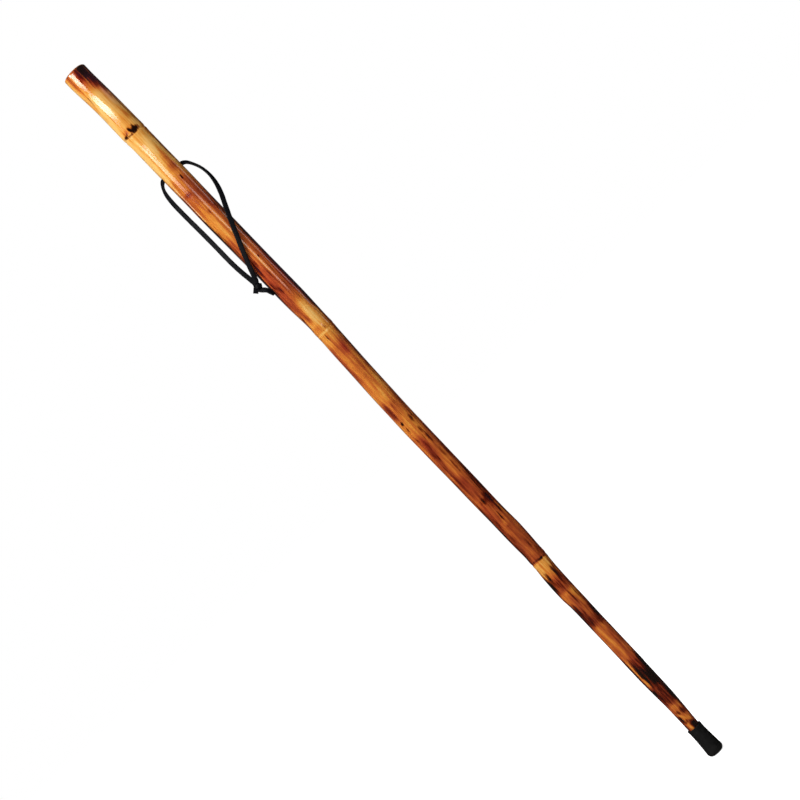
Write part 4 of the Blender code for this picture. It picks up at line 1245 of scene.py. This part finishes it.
clear = Finish(
    "clear_acrylic_lens", Base_Color=(0.97, 0.98, 0.98, 1.0), Roughness=0.03, IOR=1.49,
    Transmission_Weight=1.0,
)
dust = clear.mottle(1400.0, 4.0)
clear.wear(
    Roughness=clear.spread(dust, 0.55, 0.8, 0.02, 0.09), Normal=clear.relief(dust, 0.00001, 0.2),
)
shares = [i / 12 for i in range(12)]
lens = turn_piece(
    [(lens_radius * share, case_top + lens_crown * (1 - share ** 2)) for share in shares]
    + rounded((lens_radius - lens_edge, case_top - lens_edge), lens_edge, 70, -70, 3)
    + [(lens_radius, lens_bottom), (0.0, lens_bottom)],
    compass_middle.xy,
)
soften(lens, 35)
compass_lens = finished("compass_clear_lens", lens, clear.material)
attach(compass_lens, "root")
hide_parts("compass_lens")

# Card. The CAD's disc stays and is printed: white ticks all round with a heavy block at east,
# south and west, clusters between them, green main letters and a green arrow at north.
card_black = Finish("card_black", Roughness=0.6, Specular_IOR_Level=0.3)
card_speckle = card_black.mottle(3000.0, 2.0)
card_black.wear(
    Base_Color=card_black.blend(card_speckle, (0.006, 0.006, 0.008), (0.014, 0.014, 0.017)),
    Normal=card_black.relief(card_speckle, 0.00002, 0.4),
)


def coat(node, finish):
    """Give a piece of the CAD that stays in view its finish."""
    materials = frame["nodes"][node].data.materials
    materials.clear()
    materials.append(finish.material)


def ink(name, colour):
    """Printing ink, a little uneven where it was laid on."""
    made = Finish(name, Roughness=0.5, Specular_IOR_Level=0.3)
    thin = made.spread(made.mottle(2500.0), 0.5, 0.8)
    made.wear(Base_Color=made.blend(thin, colour, tuple(0.62 * c for c in colour)))
    return made


coat("compass_card", card_black)
white_ink = ink("white_ink", (0.93, 0.95, 0.98))
green_ink = ink("green_ink", (0.022, 0.52, 0.190))
north_turn = math.radians(-23)
print_thickness = 0.00004
tick_outer = 0.0079
tick_length = 0.0010
thin_tick_length = 0.92 * tick_length
thin_tick_width = 0.00021
block_width = 0.00062
dot_length = 0.00016
dot_width = 0.00028
dot_outer = tick_outer - 0.80 * tick_length
dot_step = 1.8
arrow_radius = 0.0072
arrow_corners = ((-0.00085, -0.0008), (0.00085, -0.0008), (0.0, 0.0009))
main_points = (("N", 0), ("E", 90), ("S", 180), ("W", 270))
between_points = (("NE", 45), ("SE", 135), ("SW", 225), ("NW", 315))
capital_share = 0.70  # height of a capital as a share of the letters' size


def card_frame(degrees, radius):
    """Places print on the card at a bearing, with its top outwards."""
    bearing = north_turn - math.radians(degrees)
    spot = Vector((compass_middle.x, compass_middle.y, card_top))
    outwards = Matrix.Translation((0.0, radius, 0.0))
    return Matrix.Translation(spot) @ Matrix.Rotation(bearing, 4, "Z") @ outwards


def print_bar(shape, degrees, outer, long, wide):
    """A printed bar that points at the card's middle."""
    bar = bmesh.ops.create_cube(shape, size=1.0)["verts"]
    lifted = Matrix.Translation((0, 0, print_thickness / 2))
    sized = Matrix.Diagonal((wide, long, print_thickness, 1.0))
    bar_frame = card_frame(degrees, outer - long / 2) @ lifted @ sized
    bmesh.ops.transform(shape, verts=bar, matrix=bar_frame)


ticks = bmesh.new()
for degrees in range(10, 360, 10):
    if degrees % 90 == 0:
        print_bar(ticks, degrees, tick_outer, tick_length, block_width)
    else:
        print_bar(ticks, degrees, tick_outer, thin_tick_length, thin_tick_width)
for quarter in (45, 135, 225, 315):
    print_bar(ticks, quarter, tick_outer, thin_tick_length, thin_tick_width)
    for step in range(-3, 3):
        print_bar(ticks, quarter + (step + 0.5) * dot_step, dot_outer, dot_length, dot_width)
card_ticks = finished("card_ticks", ticks, white_ink.material)
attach(card_ticks, "card")

arrow = bmesh.new()
low_face = arrow.faces.new([arrow.verts.new((x, y, 0.0)) for x, y in arrow_corners])
raised = bmesh.ops.extrude_face_region(arrow, geom=[low_face])["geom"]
raised = [g for g in raised if isinstance(g, bmesh.types.BMVert)]
bmesh.ops.translate(arrow, vec=(0, 0, print_thickness), verts=raised)
bmesh.ops.recalc_face_normals(arrow, faces=arrow.faces)
bmesh.ops.transform(arrow, matrix=card_frame(0, arrow_radius), verts=arrow.verts)


def print_letters(shape, words, radius, height, bold):
    """Plain printed letters, each made a mesh and set on the card at its bearing."""
    for text, degrees in words:
        data = bpy.data.curves.new("letters", "FONT")
        data.body = text
        data.size = height / capital_share
        data.align_x = "CENTER"
        data.align_y = "CENTER"
        data.offset = bold
        data.extrude = print_thickness / 2
        data.resolution_u = 4
        text_object = placed("letters", data)
        mesh = settled_mesh(text_object)
        bpy.data.objects.remove(text_object)
        bpy.data.curves.remove(data)
        mesh.materials.clear()
        lifted = Matrix.Translation((0, 0, print_thickness / 2))
        mesh.transform(card_frame(degrees, radius) @ lifted)
        shape.from_mesh(mesh)
        bpy.data.meshes.remove(mesh)
    bmesh.ops.remove_doubles(shape, verts=shape.verts, dist=0.000001)


print_letters(arrow, main_points, radius=0.0050, height=0.0021, bold=0.00009)
green_print = finished("card_main_points", arrow, green_ink.material)
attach(green_print, "card")
between = bmesh.new()
print_letters(between, between_points, radius=0.0055, height=0.00125, bold=0.00005)
white_print = finished("card_between_points", between, white_ink.material)
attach(white_print, "card")

# Jewel, point and magnet: the dull brass cap at the card's middle, the steel point that it
# turns on, and the bar magnet under the card keep the CAD's shapes, and so does the glue.
brass = Finish("dull_brass_cap", Metallic=1.0, Roughness=0.32)
tarnish = brass.mottle(1600.0, 5.0)
tarnished = brass.spread(tarnish, 0.35, 0.7)
brass.wear(
    Base_Color=brass.blend(tarnished, (0.55, 0.50, 0.38), (0.28, 0.25, 0.19)),
    Roughness=brass.spread(tarnish, 0.3, 0.7, 0.24, 0.48),
)
steel = Finish("bare_steel", Metallic=1.0, Roughness=0.3)
brushed = steel.mottle(900.0, across=8.0)
steel.wear(
    Base_Color=steel.blend(brushed, (0.30, 0.30, 0.32), (0.55, 0.55, 0.57)),
    Roughness=steel.spread(brushed, 0.3, 0.7, 0.24, 0.42),
)
glue = Finish("set_glue", Roughness=0.45)
blobs = glue.mottle(500.0)
glue.wear(
    Base_Color=glue.blend(blobs, (0.62, 0.56, 0.42), (0.80, 0.76, 0.64)),
    Normal=glue.relief(blobs, 0.0002, 0.5),
)
coat("compass_jewel", brass)
coat("compass_pivot", steel)
coat("compass_magnet", steel)
coat("compass_adhesive", glue)


# Rubber tip. A flared black rubber ferrule is pushed over the whittled foot: a lip round its
# mouth, a plain tapering wall, a rounded base and tread rings underneath.
base_radius = 0.0125
base_round = 0.0058
flare_height = 0.0076
flare_curve = 1.8
flare_steps = 32
socket_radius = 0.0093
socket_floor = 0.0070
socket_top = tip_height - 0.0005
mouth_radius = socket_radius + 0.0015
mouth_edge = 0.0004
lip_radius = mouth_radius + 0.0004
lip_height = 0.0030
lip_edge = 0.0006
lip_foot_edge = 0.0005
lip_foot_rise = 0.0006
lip_foot = tip_height - lip_height
tread_rings = (0.0026, 0.0048)
tread_depth = 0.0010
tread_width = 0.0011
tread_edge = 0.0001
mould_wobble = 0.00018
mould_wobble_from = 0.0015
mould_wobbles_round = 1.4
mould_wobbles_per_metre = 60.0
mould_seam = 0.00012
mould_seam_share = 0.035
profile = [(0.0, socket_floor), (socket_radius, socket_floor), (socket_radius, socket_top)]
profile += rounded((socket_radius + mouth_edge, tip_height - mouth_edge), mouth_edge, 180, -90, 4)
profile += rounded((lip_radius - lip_edge, tip_height - lip_edge), lip_edge, 90, -90, 5)
lip_foot_middle = (lip_radius - lip_foot_edge, lip_foot + lip_foot_rise)
profile += rounded(lip_foot_middle, lip_foot_edge, 0, -70, 4)
for i in range(1, flare_steps + 1):
    share = i / flare_steps
    radius = mouth_radius + (base_radius - mouth_radius) * share ** flare_curve
    profile.append((radius, lip_foot + (flare_height - lip_foot) * share))
profile += rounded((base_radius - base_round, base_round), base_round, 0, -90, 10)
treads = []
for inner in tread_rings:
    outer = inner + tread_width
    treads += [(inner - tread_edge, 0.0), (inner, tread_edge), (inner, tread_depth)]
    treads += [(outer, tread_depth), (outer, tread_edge), (outer + tread_edge, 0.0)]
profile += treads[::-1] + [(0.0, 0.0)]
tip = turn_piece(profile, steps=112)
for vert in tip.verts:
    on_wall = math.hypot(vert.co.x, vert.co.y) > mouth_radius - mouth_edge
    if on_wall and vert.co.z > mould_wobble_from:
        angle = math.atan2(vert.co.y, vert.co.x)
        circle = Vector((math.cos(angle), math.sin(angle), 0.0))
        spot = circle * mould_wobbles_round
        spot.z = vert.co.z * mould_wobbles_per_metre
        bump = mould_wobble * noise.noise(spot)
        if vert.co.z < lip_foot:
            bump += mould_seam * math.exp(-((circle.x / mould_seam_share) ** 2))
        vert.co += circle * bump
soften(tip, 40)
rubber = Finish("black_tip_rubber", Roughness=0.72, Specular_IOR_Level=0.2)
bloom = rubber.mottle(140.0, 6.0, roughness=0.65)
grit = rubber.mottle(1500.0, 4.0)
height_above = rubber.node("ShaderNodeSeparateXYZ", Vector=rubber.place()).outputs["Z"]
near_floor = rubber.spread(height_above, 0.0, 0.007, 1.0, 0.0)
worn = rubber.maths("MULTIPLY", near_floor, rubber.spread(grit, 0.40, 0.70))
bloomed = rubber.spread(bloom, 0.4, 0.8)
rubber_colour = rubber.blend(bloomed, (0.0042, 0.0040, 0.0036), (0.0095, 0.0088, 0.0078))
dusty = rubber.maths("MULTIPLY", worn, 0.55)
rubber.wear(
    Base_Color=rubber.blend(dusty, rubber_colour, (0.060, 0.052, 0.044)),
    Roughness=rubber.spread(bloom, 0.3, 0.7, 0.62, 0.82),
    Normal=rubber.relief(grit, 0.00008, 0.5),
)
rubber_tip = finished("rubber_tip", tip, rubber.material)
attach(rubber_tip, "root")
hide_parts("ferrule")

zinc = Finish("zinc_plated_washer", Metallic=1.0, Roughness=0.35)
plating = zinc.mottle(700.0, 4.0)
zinc.wear(
    Base_Color=zinc.blend(plating, (0.45, 0.46, 0.49), (0.66, 0.67, 0.69)),
    Roughness=zinc.spread(plating, 0.3, 0.7, 0.26, 0.46),
)
coat("ferrule_washer", zinc)


# Floor and light. A plain white floor under the tip and white all round it, a soft key light
# from the upper left, a weak one from behind, and upright boxes that only the lacquer shows.
bpy.context.scene.view_settings.view_transform = "Standard"
straight_behind = (-0.17, 0.985, 0.0)
backdrop_edge = 0.90
backdrop_full = 0.99
room_gloss = 0.06
room_level = 0.42
floor_size = 30.0
floor_lift = 0.68
floor_grey = 0.9


def toward_backdrop(finish, bearing):
    """How nearly a bearing points at the white backdrop straight behind the stick."""
    settings = {"operation": "DOT_PRODUCT"}
    new = finish.node("ShaderNodeVectorMath", settings, i0=bearing, i1=straight_behind)
    return new.outputs["Value"]


def seen_rays(finish, rays):
    """1 for rays of the camera, of gloss and through glass, and 0 for the others."""
    seen = finish.maths("MAXIMUM", rays["Is Camera Ray"], rays["Is Glossy Ray"])
    return finish.maths("MAXIMUM", seen, rays["Is Transmission Ray"])


# The floor is lifted to white for those rays, but gloss sees it dark in front of the backdrop
white = Finish(
    "floor_white", Roughness=0.9, Specular_IOR_Level=0.0, Emission_Color=(1.0, 1.0, 1.0, 1.0),
)
rays = white.node("ShaderNodeLightPath").outputs
lift = white.maths("MULTIPLY", seen_rays(white, rays), floor_lift)
spot = white.node("ShaderNodeTexCoord").outputs["Object"]
bearing = white.node("ShaderNodeVectorMath", {"operation": "NORMALIZE"}, i0=spot)
bearing = bearing.outputs["Vector"]
toward = toward_backdrop(white, bearing)
in_front = white.spread(toward, backdrop_full, backdrop_edge, smooth=False)
dim_gloss = white.maths("MULTIPLY", in_front, rays["Is Glossy Ray"])
white.wear(
    Base_Color=white.blend(dim_gloss, (floor_grey,) * 3, (room_gloss,) * 3),
    Emission_Strength=white.level(dim_gloss, lift, 0.0),
)
floor_shape = bmesh.new()
bmesh.ops.create_grid(floor_shape, x_segments=1, y_segments=1, size=floor_size)
floor = finished("floor", floor_shape, white.material)

# The room is white behind the stick. What gloss sees in front of the backdrop is dimmer.
room = Finish("white_room", "worlds", "Background", Color=(1.0, 1.0, 1.0, 1.0))
rays = room.node("ShaderNodeLightPath").outputs
toward = toward_backdrop(room, room.node("ShaderNodeTexCoord").outputs["Generated"])
behind = room.spread(toward, backdrop_edge, backdrop_full, room_gloss, 1.0, smooth=False)
dimmed = room.level(rays["Is Glossy Ray"], 1.0, behind)
room.wear(Strength=room.level(seen_rays(room, rays), room_level, dimmed))
bpy.context.scene.world = room.material


def soft_box(name, place, aim, wide, tall, power):
    """A soft box that faces the stick, upright."""
    data = bpy.data.lights.new(name, "AREA")
    data.shape = "RECTANGLE"
    data.size = wide
    data.size_y = tall
    data.energy = power
    lamp = placed(name, data)
    back = (Vector(place) - Vector(aim)).normalized()
    side = Vector((0.0, 0.0, 1.0)).cross(back).normalized()
    turn = Matrix((side, back.cross(side), back)).transposed()
    lamp.matrix_world = Matrix.Translation(Vector(place)) @ turn.to_4x4()
    return lamp


soft_box("key_upper_left", (-1.35, -1.55, 2.15), (0.0, 0.0, 0.75), 0.70, 0.70, 52.0)
fill = soft_box("fill_behind", (0.9, 1.6, 1.60), (0.0, 0.0, 0.70), 0.60, 0.90, 5.0)
fill.visible_glossy = False
# Boxes that only the lacquer shows: turn from the camera's side (left is below 0), height, size
# and brightness
shine_distance = 1.6
shine_drop = 0.3
for name, turn, height, wide, tall, bright in (
    ("shine_on_end", -27, 1.645, 0.86, 0.13, 15.0),
    ("shine_on_grip", -31, 1.508, 1.16, 0.17, 18.0),
    ("shine_below_ring", -39, 1.345, 0.84, 0.14, 8.4),
    ("strip_right", 17, 1.150, 0.42, 0.34, 3.6),
    ("strip_far_right", 84, 1.110, 0.36, 0.54, 1.9),
    ("strip_far_left", -113, 1.250, 0.28, 0.09, 5.0),
):
    angle = math.radians(turn)
    spot = (shine_distance * math.sin(angle), -shine_distance * math.cos(angle), height)
    power = bright * math.pi * wide * tall
    shine = soft_box(name, spot, (0.0, 0.0, height - shine_drop), wide, tall, power)
    shine.visible_diffuse = False
